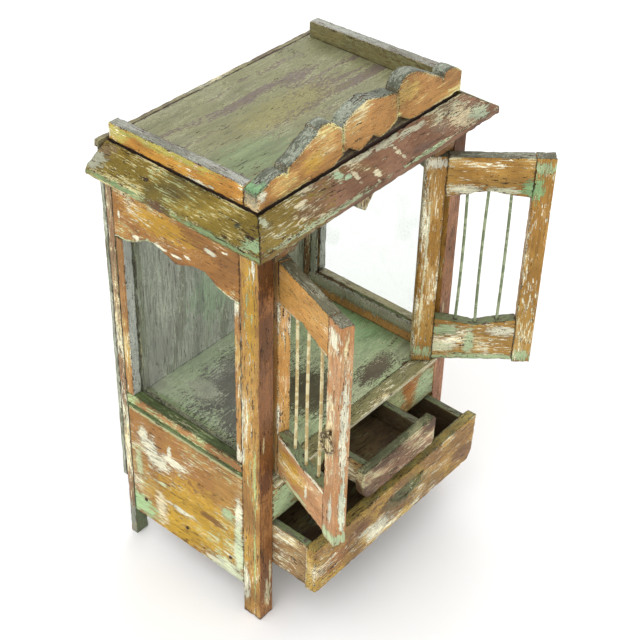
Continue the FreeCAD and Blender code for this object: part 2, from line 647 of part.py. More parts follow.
# ---- write every piece -----------------------------------------------------------------------
save_pair("front_post", front_post())
save_pair("rear_leg", rear_leg())
save("back_panel", back_panel())
save_pair("side_panel", side_panel())
save("nails", Part.makeCompound(back_nails().Solids + runner_nails(-1).Solids
                                + runner_nails(1).Solids))
save_pair("window_top_rail", window_top_rail())
save_pair("window_stiles", window_stiles())
save_pair("window_bottom_rail", window_bottom_rail())
save_pair("glass_frame", glass_frame())
save_pair("window_glass", pane())
save("floor_board", floor_board())
save("front_sill", front_sill())
save_pair("apron_bracket", apron_bracket())
save("front_top_rail", front_top_rail())
save("top_board", top_board())
save("cornice_front", cornice_front())
save_pair("cornice_side", cornice_side())
save("rear_batten", rear_batten())
save("gallery_front", gallery_front())
save_pair("gallery_side", gallery_side())
save_group("big_drawer_runners", big_runner())
save("drawer_bearers", bearers())
save_group("small_drawer_runners", small_runner())
save("turn_button_pin", button_pin())
save("turn_button", turn_button())

for tag, swing in (("left_door", swing_left), ("right_door", swing_right)):
    lock, wires = lock_stile(), door_wires()
    if tag == "left_door":
        lock = lock.cut(ring_eye())
    save(tag + "_hinge_stile", swing(hinge_stile()))
    save(tag + "_lock_stile", swing(lock))
    save(tag + "_top_rail", swing(door_rail(True).cut(wires)))
    save(tag + "_bottom_rail", swing(door_rail(False).cut(wires)))
    save(tag + "_wires", swing(wires))
    save(tag + "_pivot_pins", swing(door_pins()))
save("ring_eye", swing_left(ring_eye()))
save("pull_ring", swing_left(pull_ring()))

save("big_drawer_front", big_front())
save_pair("big_drawer_side", big_side())
save("big_drawer_back", big_back())
save("big_drawer_bottom", big_bottom())
save("small_drawer_front", small_front())
save_pair("small_drawer_side", small_side())
save("small_drawer_back", small_back())
save("small_drawer_bottom", small_bottom())
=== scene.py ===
import json
import math
from statistics import NormalDist

import bmesh
import bpy
import numpy as np
from mathutils import Matrix, Vector, noise
from mathutils.bvhtree import BVHTree


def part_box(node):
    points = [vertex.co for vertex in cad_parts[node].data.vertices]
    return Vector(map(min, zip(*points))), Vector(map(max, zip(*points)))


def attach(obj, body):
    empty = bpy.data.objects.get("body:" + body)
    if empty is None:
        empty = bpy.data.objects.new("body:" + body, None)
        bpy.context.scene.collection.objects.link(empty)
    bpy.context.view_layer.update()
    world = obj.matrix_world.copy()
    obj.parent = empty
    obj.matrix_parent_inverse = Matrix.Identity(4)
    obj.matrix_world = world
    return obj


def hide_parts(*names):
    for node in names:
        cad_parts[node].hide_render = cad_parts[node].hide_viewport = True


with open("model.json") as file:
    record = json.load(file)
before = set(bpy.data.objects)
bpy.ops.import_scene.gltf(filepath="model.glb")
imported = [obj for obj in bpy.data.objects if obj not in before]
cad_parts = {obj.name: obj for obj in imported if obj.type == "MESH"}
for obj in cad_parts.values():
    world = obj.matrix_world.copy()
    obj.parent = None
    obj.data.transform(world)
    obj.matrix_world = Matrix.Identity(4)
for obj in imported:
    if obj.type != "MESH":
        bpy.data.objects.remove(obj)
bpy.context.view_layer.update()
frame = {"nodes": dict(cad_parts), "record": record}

MM = 0.001
NODES = frame["nodes"]
BODY_OF = {n: b for b, names in frame["record"]["behaviour"]["bodies"].items() for n in names}

# how far each open door is turned from closed, in degrees about +Z
LEFT_TURN, RIGHT_TURN = -109.6, 130.4


# ---- camera ------------------------------------------------------------------------------------
def make_camera():
    """Looks down from the front left, as far away as a short telephoto lens needs."""
    azimuth, elevation, roll = math.radians(49.92), math.radians(36.163), math.radians(1.243)
    forward = Vector((math.sin(azimuth) * math.cos(elevation) * 1.0,
                      math.cos(azimuth) * math.cos(elevation), -math.sin(elevation)))
    right = Vector((math.cos(azimuth), -math.sin(azimuth), 0.0))
    up = right.cross(forward)
    turned_right = right * math.cos(roll) + up * math.sin(roll)
    turned_up = up * math.cos(roll) - right * math.sin(roll)
    data = bpy.data.cameras.new("camera")
    data.lens, data.sensor_width = 78.98, 36.0
    data.shift_x, data.shift_y = 0.0191, -0.0705
    data.clip_start, data.clip_end = 0.05, 60.0
    cam = bpy.data.objects.new("camera", data)
    bpy.context.scene.collection.objects.link(cam)
    basis = Matrix((turned_right, turned_up, -forward)).transposed().to_4x4()
    cam.matrix_world = Matrix.Translation((-0.7619, -0.6111, 1.0038)) @ basis
    bpy.context.scene.camera = cam


make_camera()


# ---- light and floor ---------------------------------------------------------------------------
def area_light(name, place, target, size, power, colour=(1, 1, 1)):
    data = bpy.data.lights.new(name, "AREA")
    data.shape, data.size, data.energy, data.color = "DISK", size, power, colour
    light = bpy.data.objects.new(name, data)
    bpy.context.scene.collection.objects.link(light)
    light.location = place
    light.rotation_euler = (Vector(target) - Vector(place)).to_track_quat("-Z", "Y").to_euler()


def make_stage():
    world = bpy.data.worlds.new("studio")
    world.use_nodes = True
    world.node_tree.nodes["Background"].inputs["Color"].default_value = (1.0, 1.0, 1.0, 1)
    world.node_tree.nodes["Background"].inputs["Strength"].default_value = 0.95
    bpy.context.scene.world = world
    middle = (0.0, 0.0, 0.25)
    area_light("key", (-1.6, -0.3, 2.2), middle, 2.2, 26)
    area_light("fill", (0.6, -2.2, 1.2), middle, 1.6, 4)
    area_light("back", (1.4, 0.9, 1.9), middle, 1.8, 12)
    bpy.context.scene.view_settings.view_transform = "Standard"

    mesh = bpy.data.meshes.new("floor")
    half = 8.0
    mesh.from_pydata([(-half, -half, 0), (half, -half, 0), (half, half, 0), (-half, half, 0)], [],
                     [(0, 1, 2, 3)])
    floor = bpy.data.objects.new("floor", mesh)
    bpy.context.scene.collection.objects.link(floor)
    paper = bpy.data.materials.new("floor_paper")
    paper.use_nodes = True
    shader = paper.node_tree.nodes["Principled BSDF"]
    shader.inputs["Base Color"].default_value = (0.95, 0.95, 0.95, 1)
    shader.inputs["Roughness"].default_value = 0.9
    shader.inputs["Specular IOR Level"].default_value = 0.1
    mesh.materials.append(paper)


make_stage()


# ---- colours -------------------------------------------------------------------------------------
def srgb(r, g, b):
    def linear(c):
        c /= 255.0
        return c / 12.92 if c <= 0.04045 else ((c + 0.055) / 1.055) ** 2.4
    return (linear(r), linear(g), linear(b), 1.0)


ORANGE = srgb(194, 148, 80)
ORANGE_DEEP = srgb(168, 122, 64)
RED_BROWN = srgb(134, 90, 46)
BROWN = srgb(88, 56, 26)
DARK = srgb(50, 34, 22)
MUSTARD = srgb(206, 168, 78)
OLIVE = srgb(134, 116, 52)
OLIVE_DARK = srgb(96, 92, 52)
MINT = srgb(178, 196, 148)
GREEN = srgb(116, 134, 92)
GREY_GREEN = srgb(142, 144, 120)
GREY_DARK = srgb(104, 106, 88)
GREY_PALE = srgb(160, 164, 146)
CREAM = srgb(232, 216, 166)
WHITE = srgb(238, 234, 204)
WOOD_PALE = srgb(116, 84, 50)
# dark brown for grime, also used for painted shade along the joints between pieces
GRIME_AND_SHADE = srgb(38, 26, 14)


# ---- node helper ---------------------------------------------------------------------------------
class Graph:
    """Short calls that add shader nodes; every argument may be a number, a colour or a socket."""

    def __init__(self, name):
        self.material = bpy.data.materials.new(name)
        self.material.use_nodes = True
        self.tree = self.material.node_tree
        self.tree.nodes.clear()
        self.output = self.tree.nodes.new("ShaderNodeOutputMaterial")

    def node(self, kind, **settings):
        made = self.tree.nodes.new(kind)
        for key, value in settings.items():
            setattr(made, key, value)
        return made

    def put(self, socket, value):
        if isinstance(value, bpy.types.NodeSocket):
            self.tree.links.new(value, socket)
        elif value is not None:
            socket.default_value = value

    def math(self, operation, a, b=None, c=None, clamp=False):
        made = self.node("ShaderNodeMath", operation=operation, use_clamp=clamp)
        for socket, value in zip(made.inputs, (a, b, c)):
            self.put(socket, value)
        return made.outputs[0]

    def vector(self, operation, a, b=None):
        made = self.node("ShaderNodeVectorMath", operation=operation)
        self.put(made.inputs[0], a)
        self.put(made.inputs[1], b)
        return made.outputs["Value"] if operation in ("LENGTH", "DOT_PRODUCT") else made.outputs[0]

    def step(self, value, low, high):
        """0 below low, 1 above high, smooth between."""
        made = self.node("ShaderNodeMapRange", interpolation_type="SMOOTHSTEP")
        self.put(made.inputs["Value"], value)
        self.put(made.inputs["From Min"], low)
        self.put(made.inputs["From Max"], high)
        return made.outputs["Result"]

    def noise(self, vector, scale, detail=3.0, roughness=0.55, distortion=0.0):
        made = self.node("ShaderNodeTexNoise", normalize=True)
        self.put(made.inputs["Vector"], vector)
        made.inputs["Scale"].default_value = scale
        made.inputs["Detail"].default_value = detail
        made.inputs["Roughness"].default_value = roughness
        made.inputs["Distortion"].default_value = distortion
        return made.outputs["Fac"]

    def mix(self, factor, a, b):
        made = self.node("ShaderNodeMix", data_type="RGBA")
        self.put(made.inputs["Factor"], factor)
        self.put(made.inputs[6], a)
        self.put(made.inputs[7], b)
        return made.outputs[2]

    def tint(self, colour, factor):
        """Colour times a grey factor."""
        made = self.node("ShaderNodeMix", data_type="RGBA", blend_type="MULTIPLY")
        made.inputs["Factor"].default_value = 1.0
        self.put(made.inputs[6], colour)
        grey = self.node("ShaderNodeCombineColor")
        for k in range(3):
            self.put(grey.inputs[k], factor)
        self.put(made.inputs[7], grey.outputs[0])
        return made.outputs[2]


def local_point(g, turn, seed):
    """Object coordinates in metres, and the same turned back to the closed door and moved by a seed."""
    place = g.node("ShaderNodeTexCoord").outputs["Object"]
    mapping = g.node("ShaderNodeMapping")
    g.put(mapping.inputs["Vector"], place)
    mapping.inputs["Rotation"].default_value = (0, 0, math.radians(-turn))
    mapping.inputs["Location"].default_value = (0.37 * seed, 0.61 * seed, 0.23 * seed)
    return place, mapping.outputs["Vector"]


def level(share, spread):
    """The value that a noise field of that spread exceeds on this share of a surface."""
    return 0.5 + spread * NormalDist().inv_cdf(1 - min(max(share, 0.002), 0.998))


class Fields:
    """The noise fields that all old paint here is made of; the grain runs along one axis."""

    def __init__(self, g, point, grain, patch_scale, stretch, splinter):
        def along(share):
            return g.vector("MULTIPLY", point, [share if axis == grain else 1 for axis in "XYZ"])

        self.strands = g.noise(along(0.07), 800, 3, 0.6, 0.2)
        self.splinters = g.noise(along(splinter), 900, 4, 0.65, 0.3)
        self.chips = g.noise(along(0.30), 430, 5, 0.68, 0.3)
        self.crumbs = g.noise(point, 1100, 3, 0.6)
        self.patches = g.noise(along(stretch), patch_scale, 3, 0.55, 0.4)
        self.clouds = g.noise(point, 21, 2, 0.5)
        self.grain_lines = g.noise(along(0.05), 330, 2, 0.5, 0.8)

    def blend(self, g, *shares):
        """A weighted sum of pairs (field, weight), each taken about its mean of 0.5."""
        total = 0.5
        for field, weight in shares:
            total = g.math("ADD", total, g.math("MULTIPLY", g.math("SUBTRACT", field, 0.5), weight))
        return total


def painted_wood(name, grain, tops, unders, flake=0.15, bare=0.05, turn=0.0, seed=1.0, faces=(),
                 edge=0.55, blobs=(), dirt=0.3, patch_scale=38.0, stretch=0.45, streak=0.6,
                 gloss=0.5, specks=0.02, lines=0.04, strand=1.0):
    """Old wood under a flaking undercoat and a flaking top coat.
    tops: three colours of the top coat; unders: two of the undercoat;
    flake, bare, specks, lines: shares of the surface where undercoat, wood, small specks of
    undercoat and pale streaks in the top coat show;
    faces: (direction, three colours, share) of sides painted otherwise, some of them in painted shade;
    strand: how fine and how strong the grain is, 1 for plain old wood;
    blobs: (middle, radii in mm, colour, layer) of larger patches, where layer is "top" for a
    tone of the top coat, "under" for undercoat laid bare, "over" for paint over all others, and
    "flecks" for a region with more flecks of undercoat."""
    g = Graph(name)
    place, point = local_point(g, turn, seed)
    f = Fields(g, point, grain, patch_scale, stretch, 0.10 / strand ** 1.5)

    # top coat: three colours that drift into one another, streaked along the grain
    drift = f.blend(g, (f.clouds, 0.7), (f.chips, 0.4), (f.strands, 0.15))
    top = g.mix(g.step(drift, 0.45, 0.55), tops[0], tops[1])
    drift = f.blend(g, (f.patches, 0.7), (f.splinters, 0.35))
    top = g.mix(g.step(drift, 0.52, 0.58), top, tops[2])
    under = g.mix(g.step(f.blend(g, (f.clouds, 0.6), (f.chips, 0.6)), 0.48, 0.53), *unders)

    ragged = f.blend(g, (f.splinters, 0.5), (f.chips, 0.5))
    jag = g.math("MULTIPLY", g.math("SUBTRACT", ragged, 0.5), 6.5)
    reveal, halo, more, covers = 0.0, 0.0, 0.0, []
    for middle, radii, colour, layer in blobs:
        offset = g.vector("SUBTRACT", place, list(middle))
        if turn:
            spin = g.node("ShaderNodeMapping")
            g.put(spin.inputs["Vector"], offset)
            spin.inputs["Rotation"].default_value = (0, 0, math.radians(-turn))
            offset = spin.outputs["Vector"]
        reach = g.vector("LENGTH", g.vector("DIVIDE", offset, [r * MM for r in radii]))
        inside = g.step(g.math("ADD", reach, jag), 1.03, 0.97)
        if layer == "top":
            top = g.mix(g.math("MULTIPLY", inside, 0.85), top, colour)
        elif layer == "over":
            covers.append((inside, colour))
        elif layer == "flecks":
            more = g.math("MAXIMUM", more, g.step(reach, 1.2, 0.5))
        else:
            under = g.mix(inside, under, colour)
            reveal = g.math("MAXIMUM", reveal, inside)
            halo = g.math("MAXIMUM", halo, g.step(g.math("ADD", reach, jag), 1.16, 1.04))

    # flaking: thin flecks along the grain, thicker in patches, and strips along the arrises
    more = g.math("MULTIPLY", more, 0.055)
    wear = f.blend(g, (f.splinters, 0.55), (f.chips, 0.45), (f.patches, 0.35))
    wear = g.math("ADD", wear, more)
    start = level(flake, 0.055)
    flaked = g.step(wear, start, start + 0.007)
    rim = g.math("SUBTRACT", g.step(wear, start - 0.020, start - 0.004), flaked)
    near = g.node("ShaderNodeAttribute", attribute_name="edge_mm").outputs["Fac"]
    strip = f.blend(g, (f.patches, 10.0), (f.chips, 9.0), (f.crumbs, 4.0))
    strip = g.math("SUBTRACT", g.math("ADD", strip, 1.9 * edge - 1.35), near)
    flaked = g.math("MAXIMUM", flaked, g.step(strip, 0.0, 0.25))
    rim = g.math("MAXIMUM", rim, g.math("SUBTRACT", g.step(strip, -0.8, -0.2), flaked))
    flaked = g.math("MAXIMUM", flaked, reveal)
    streaks = f.blend(g, (f.splinters, 0.7), (f.strands, 0.5), (f.patches, 0.5))
    streaks = g.step(g.math("ADD", streaks, more), level(lines, 0.07), level(lines, 0.07) + 0.012)
    flaked = g.math("MAXIMUM", flaked, g.math("MULTIPLY", streaks, 0.85))
    rim = g.math("MAXIMUM", rim, g.math("SUBTRACT", halo, flaked))
    speck = g.step(f.blend(g, (f.crumbs, 0.8), (f.patches, 0.4)), level(specks, 0.065),
                   level(specks, 0.065) + 0.012)
    flaked = g.math("MAXIMUM", flaked, speck)
    scratch = f.blend(g, (f.strands, 0.5), (f.chips, 0.4), (f.crumbs, 0.25), (f.clouds, -0.3))
    start = level(bare, 0.055)
    bared = g.step(scratch, start, start + 0.010)
    strip = g.math("SUBTRACT", f.blend(g, (f.crumbs, 9.0), (f.chips, 9.0)), near)
    bared = g.math("MAXIMUM", bared, g.step(strip, 0.55 - 0.3 * edge, 0.75 - 0.3 * edge))

    wood = g.mix(g.step(f.strands, 0.42, 0.58), BROWN, DARK)
    wood = g.mix(g.step(f.clouds, 0.5, 0.62), wood, WOOD_PALE)
    colour = g.mix(flaked, top, under)
    for direction, coat, share in faces:
        facing = g.vector("DOT_PRODUCT", g.node("ShaderNodeTexCoord").outputs["Normal"],
                          list(Vector(direction).normalized()))
        facing = g.math("ADD", facing, g.math("MULTIPLY", jag, 0.05))
        facing = g.math("MULTIPLY", g.step(facing, 0.70, 0.80), share)
        other = g.mix(g.step(f.blend(g, (f.patches, 0.5), (f.chips, 0.6)), 0.47, 0.53), *coat[:2])
        other = g.mix(g.step(scratch, level(0.13, 0.055), level(0.09, 0.055)), other, coat[2])
        colour = g.mix(facing, colour, other)
    for inside, coat in covers:
        colour = g.mix(g.math("MULTIPLY", inside, 0.9), colour, coat)
    colour = g.mix(bared, colour, wood)

    # dark rims of the thick paint, cracks along the grain, painted shade and grime along the joints where
    # pieces meet, dirt in patches
    rim = g.math("MULTIPLY", g.math("MAXIMUM", rim, 0.0), g.step(f.crumbs, 0.42, 0.56))
    crack = g.math("ABSOLUTE", g.math("SUBTRACT", f.grain_lines, 0.5))
    crack = g.math("MULTIPLY", g.step(crack, 0.018, 0.004), g.step(f.chips, 0.41, 0.52))
    dark = g.math("MAXIMUM", g.math("MULTIPLY", rim, 0.62), g.math("MULTIPLY", crack, streak))
    # painted shade and grime: darker where this piece meets another
    joint = g.node("ShaderNodeAttribute", attribute_name="joint_mm").outputs["Fac"]
    joint = g.math("SUBTRACT", joint, g.math("MULTIPLY", g.math("SUBTRACT", f.chips, 0.5), 6.0))
    dark = g.math("MAXIMUM", dark, g.math("MULTIPLY", g.step(joint, 1.3, 0.3), 0.75))
    soil = g.step(f.blend(g, (f.patches, -0.5), (f.crumbs, 0.5), (f.clouds, 0.5)), 0.50, 0.57)
    dark = g.math("ADD", dark, g.math("MULTIPLY", soil, dirt), clamp=True)
    colour = g.mix(dark, colour, GRIME_AND_SHADE)
    shade = f.blend(g, (f.strands, 0.9 * strand), (f.chips, 0.9), (f.patches, 0.7), (f.clouds, 0.6))
    colour = g.tint(colour, g.math("ADD", 0.48, shade))

    height = g.math("MULTIPLY", flaked, -0.45)
    height = g.math("ADD", height, g.math("MULTIPLY", bared, -0.55))
    height = g.math("ADD", height, g.math("MULTIPLY", dark, -0.35))
    height = g.math("ADD", height, g.math("MULTIPLY", f.strands, 0.9))
    height = g.math("ADD", height, g.math("MULTIPLY", f.chips, 0.5))
    bump = g.node("ShaderNodeBump")
    bump.inputs["Strength"].default_value = 0.8
    bump.inputs["Distance"].default_value = 0.45 * MM
    g.put(bump.inputs["Height"], height)

    shader = g.node("ShaderNodeBsdfPrincipled")
    g.put(shader.inputs["Base Color"], colour)
    rough = g.math("ADD", 0.74 - 0.3 * gloss, g.math("MULTIPLY", bared, 0.18))
    rough = g.math("ADD", rough, g.math("MULTIPLY", g.math("SUBTRACT", f.chips, 0.5), 0.6))
    g.put(shader.inputs["Roughness"], g.math("MAXIMUM", rough, 0.3))
    shader.inputs["Specular IOR Level"].default_value = 0.35
    g.put(shader.inputs["Normal"], bump.outputs["Normal"])
    g.tree.links.new(shader.outputs[0], g.output.inputs["Surface"])
    return g.material


# ---- worn boards -----------------------------------------------------------------------------------
TREES = {name: BVHTree.FromPolygons([v.co for v in cad_node.data.vertices],
                                    [p.vertices for p in cad_node.data.polygons])
         for name, cad_node in NODES.items()}


def sharp_edges(bm):
    return [e for e in bm.edges if len(e.link_faces) == 2
            and e.is_convex and e.calc_face_angle(0.0) > math.radians(28)]


def short_runs(bm, edges, longest=8 * MM):
    """The edges as pieces (start, vector along it) no longer than that."""
    runs = []
    for e in edges:
        start, along = np.array(e.verts[0].co), np.array(e.verts[1].co - e.verts[0].co)
        count = max(1, round(e.calc_length() / longest))
        runs += [(start + along * k / count, along / count) for k in range(count)]
    return runs


def neighbours(node, reach=1 * MM):
    """The pieces of the same body whose boxes come near this one's."""
    low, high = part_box(node)
    near = []
    for other, tree in TREES.items():
        if other != node and BODY_OF[other] == BODY_OF[node]:
            other_low, other_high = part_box(other)
            if all(low[k] < other_high[k] + reach and other_low[k] < high[k] + reach
                   for k in range(3)):
                near.append(tree)
    return near


def distance_mm(bm, runs):
    """For each point of the mesh, how far it is from the nearest of these runs, in mm."""
    points = np.array([v.co for v in bm.verts], float)
    nearest = np.full(len(points), 0.08)
    for start, along in runs:
        share = np.clip((points - start) @ along / (along @ along), 0, 1)
        away = points - start - share[:, None] * along
        nearest = np.minimum(nearest, np.sqrt((away * away).sum(1)))
    return nearest / MM


def cut_across(bm, normal, spacing):
    """Parallel cuts through the whole piece, so that it has points to be worn at."""
    reach = [v.co.dot(normal) for v in bm.verts]
    low, high = min(reach), max(reach)
    count = int((high - low) / spacing)
    for k in range(1, count + 1):
        at = low + (high - low) * k / (count + 1)
        bmesh.ops.bisect_plane(bm, geom=bm.verts[:] + bm.edges[:] + bm.faces[:], dist=1e-6,
                               plane_co=normal * at, plane_no=normal)


def keep_within(bm, tree, stray=0.05 * MM):
    """Brings back any point that has come out of the piece's own CAD shape."""
    for v in bm.verts:
        nearest, normal, _, away = tree.find_nearest(v.co)
        if away > stray and (v.co - nearest).dot(normal) > 0:
            v.co = nearest


def worn_board(node, material, turn=0.0, step=4.0, bevel=0.8, chip=0.7, seed=0):
    """The CAD piece with rounded, chipped arrises and slightly uneven faces, never outside it."""
    bm = bmesh.new()
    bm.from_mesh(NODES[node].data)
    bmesh.ops.remove_doubles(bm, verts=bm.verts[:], dist=0.005 * MM)
    bmesh.ops.dissolve_limit(bm, angle_limit=math.radians(0.8), verts=bm.verts[:],
                             edges=bm.edges[:])
    sharp = sharp_edges(bm)
    free, joined = [], []
    near_trees = neighbours(node)
    for start, along in short_runs(bm, sharp):
        middle = Vector(start + along / 2)
        met = any(tree.find_nearest(middle, 0.35 * MM)[0] is not None for tree in near_trees)
        (joined if met else free).append((start, along))
    bmesh.ops.bevel(bm, geom=sharp, offset=bevel * MM, offset_type="OFFSET", segments=2,
                    profile=0.5, affect="EDGES", clamp_overlap=False)
    keep_within(bm, TREES[node])
    angle = math.radians(turn)
    axes = (Vector((math.cos(angle), math.sin(angle), 0)),
            Vector((-math.sin(angle), math.cos(angle), 0)), Vector((0, 0, 1)))
    for axis in axes:
        cut_across(bm, axis, step * MM)
    bm.normal_update()
    shift = Vector((seed * 0.31, seed * 0.17, seed * 0.53))
    moves = []
    for v, near in zip(bm.verts, distance_mm(bm, free)):
        wide = noise.noise(v.co * 28 + shift) * 0.5 + 0.5
        small = noise.noise(v.co * 260 + shift) * 0.5 + 0.5
        rough = noise.noise(v.co * 620 + shift * 2) * 0.5 + 0.5
        depth = 0.22 * wide + 0.06 * small
        if near < 1.3 * bevel:
            bite = max(0.0, small - 0.52) * 3.2 + max(0.0, rough - 0.6) * 1.2
            depth += chip * bite + 0.12 * rough
        moves.append((v, v.normal.copy() * (-depth * MM)))
    for v, move in moves:
        v.co += move
    keep_within(bm, TREES[node])
    mesh = bpy.data.meshes.new("worn_" + node)
    bm.to_mesh(mesh)
    for label, runs in (("edge_mm", free), ("joint_mm", joined)):
        mesh.attributes.new(label, "FLOAT", "POINT").data.foreach_set(
            "value", distance_mm(bm, runs).astype(np.float32))
    bm.free()
    mesh.shade_smooth()
    mesh.set_sharp_from_angle(angle=math.radians(50))
    mesh.materials.append(material)
    piece = bpy.data.objects.new("worn_" + node, mesh)
    bpy.context.scene.collection.objects.link(piece)
    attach(piece, BODY_OF[node])
    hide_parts(node)
    return piece


# ---- where things are ------------------------------------------------------------------------------
def spot(node, fx, fy, fz):
    """A point in a piece's box, as shares from its lowest to its highest corner."""
    low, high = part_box(node)
    return low + Vector((high - low)[k] * f for k, f in enumerate((fx, fy, fz)))


def turned_to(direction, turn):
    """A direction of the closed left or right door, as it stands open."""
    return Matrix.Rotation(math.radians(turn), 3, "Z") @ Vector(direction)


UP, FRONT, REAR = (0, 0, 1), (0, -1, 0), (0, 1, 0)
TOP_GREYS = (srgb(100, 106, 88), srgb(152, 158, 140), DARK)
TOP_GREENS = (GREEN, GREY_DARK, DARK)
UP_GREY = (UP, TOP_GREYS, 0.95)


# ---- carcass ------------------------------------------------------------------------------------------
def patches(node, *marks):
    """Blobs from (shares of the piece's box, radii in mm, colour, layer)."""
    return [(spot(node, *at), radii, colour, layer) for at, radii, colour, layer in marks]


def dress_posts():
    line = srgb(190, 200, 128)
    for side, seed in (("left", 1.0), ("right", 2.0)):
        node = "front_post_" + side
        out = 0.0 if side == "left" else 1.0
        front = (srgb(136, 84, 38), srgb(164, 112, 62), srgb(76, 44, 16))
        if side == "right":
            front = (srgb(178, 124, 90), srgb(192, 140, 106), srgb(128, 82, 50))
        coat = painted_wood(
            node, "Z", (srgb(190, 144, 70), srgb(172, 124, 58), srgb(198, 152, 72)),
            (WHITE, MINT), flake=0.035, bare=0.02, seed=seed, lines=0.03, dirt=0.3, streak=0.9,
            faces=[(FRONT, front, 0.95)],
            blobs=patches(
                node, ((out, 0.80, 0.09), (3, 4, 20), WHITE, "under"),
                ((out, 0.78, 0.19), (3, 3, 18), srgb(208, 162, 54), "top"),
                ((out, 0.98, 0.45), (3, 2, 9), WHITE, "under"),
                ((out, 0.30, 0.17), (3, 1.1, 44), line, "under"),
                ((out, 0.26, 0.40), (3, 1.0, 40), line, "under"),
                ((out, 0.45, 0.82), (3, 6.0, 52), srgb(200, 154, 40), "top"),
                ((out, 0.50, 0.78), (3, 7.0, 60), WHITE, "flecks"),
                ((out, 0.29, 0.91), (3, 1.6, 9), WHITE, "under"),
                # dark paint and painted shade under the cornice: the darker top of the post's front face
                ((0.5, 0.0, 0.92), (20, 1.5, 34), srgb(96, 58, 22), "over"),
                ((0.4, 0.0, 0.39), (9, 1.5, 14), srgb(106, 64, 32), "over"),
                ((0.4, 0.0, 0.60), (12, 1.5, 40), srgb(152, 104, 66), "over"),
                ((0.3, 0.0, 0.49), (1.2, 1.5, 8), CREAM, "over"),
                ((0.6, 0.0, 0.07), (4, 1.5, 14), srgb(224, 214, 170), "over"),
                ((0.8, 0.0, 0.13), (1.6, 1.5, 14), srgb(224, 214, 170), "over"),
                ((0.5, 0.5, 0.0), (20, 20, 4), srgb(122, 88, 60), "over")))
        worn_board(node, coat, step=4.0, seed=seed, chip=0.9)
        node = "rear_leg_" + side
        coat = painted_wood(
            node, "Z", (srgb(160, 122, 82), srgb(178, 144, 104), GREY_GREEN), (WHITE, CREAM),
            flake=0.34, bare=0.06, seed=seed + 4, edge=0.9,
            faces=[(FRONT, (GREEN, GREY_DARK, DARK), 0.9)],
            blobs=patches(node, ((0.5, 0.5, 0.04), (20, 20, 22), GREY_PALE, "under")))
        worn_board(node, coat, step=5.0, seed=seed + 4)


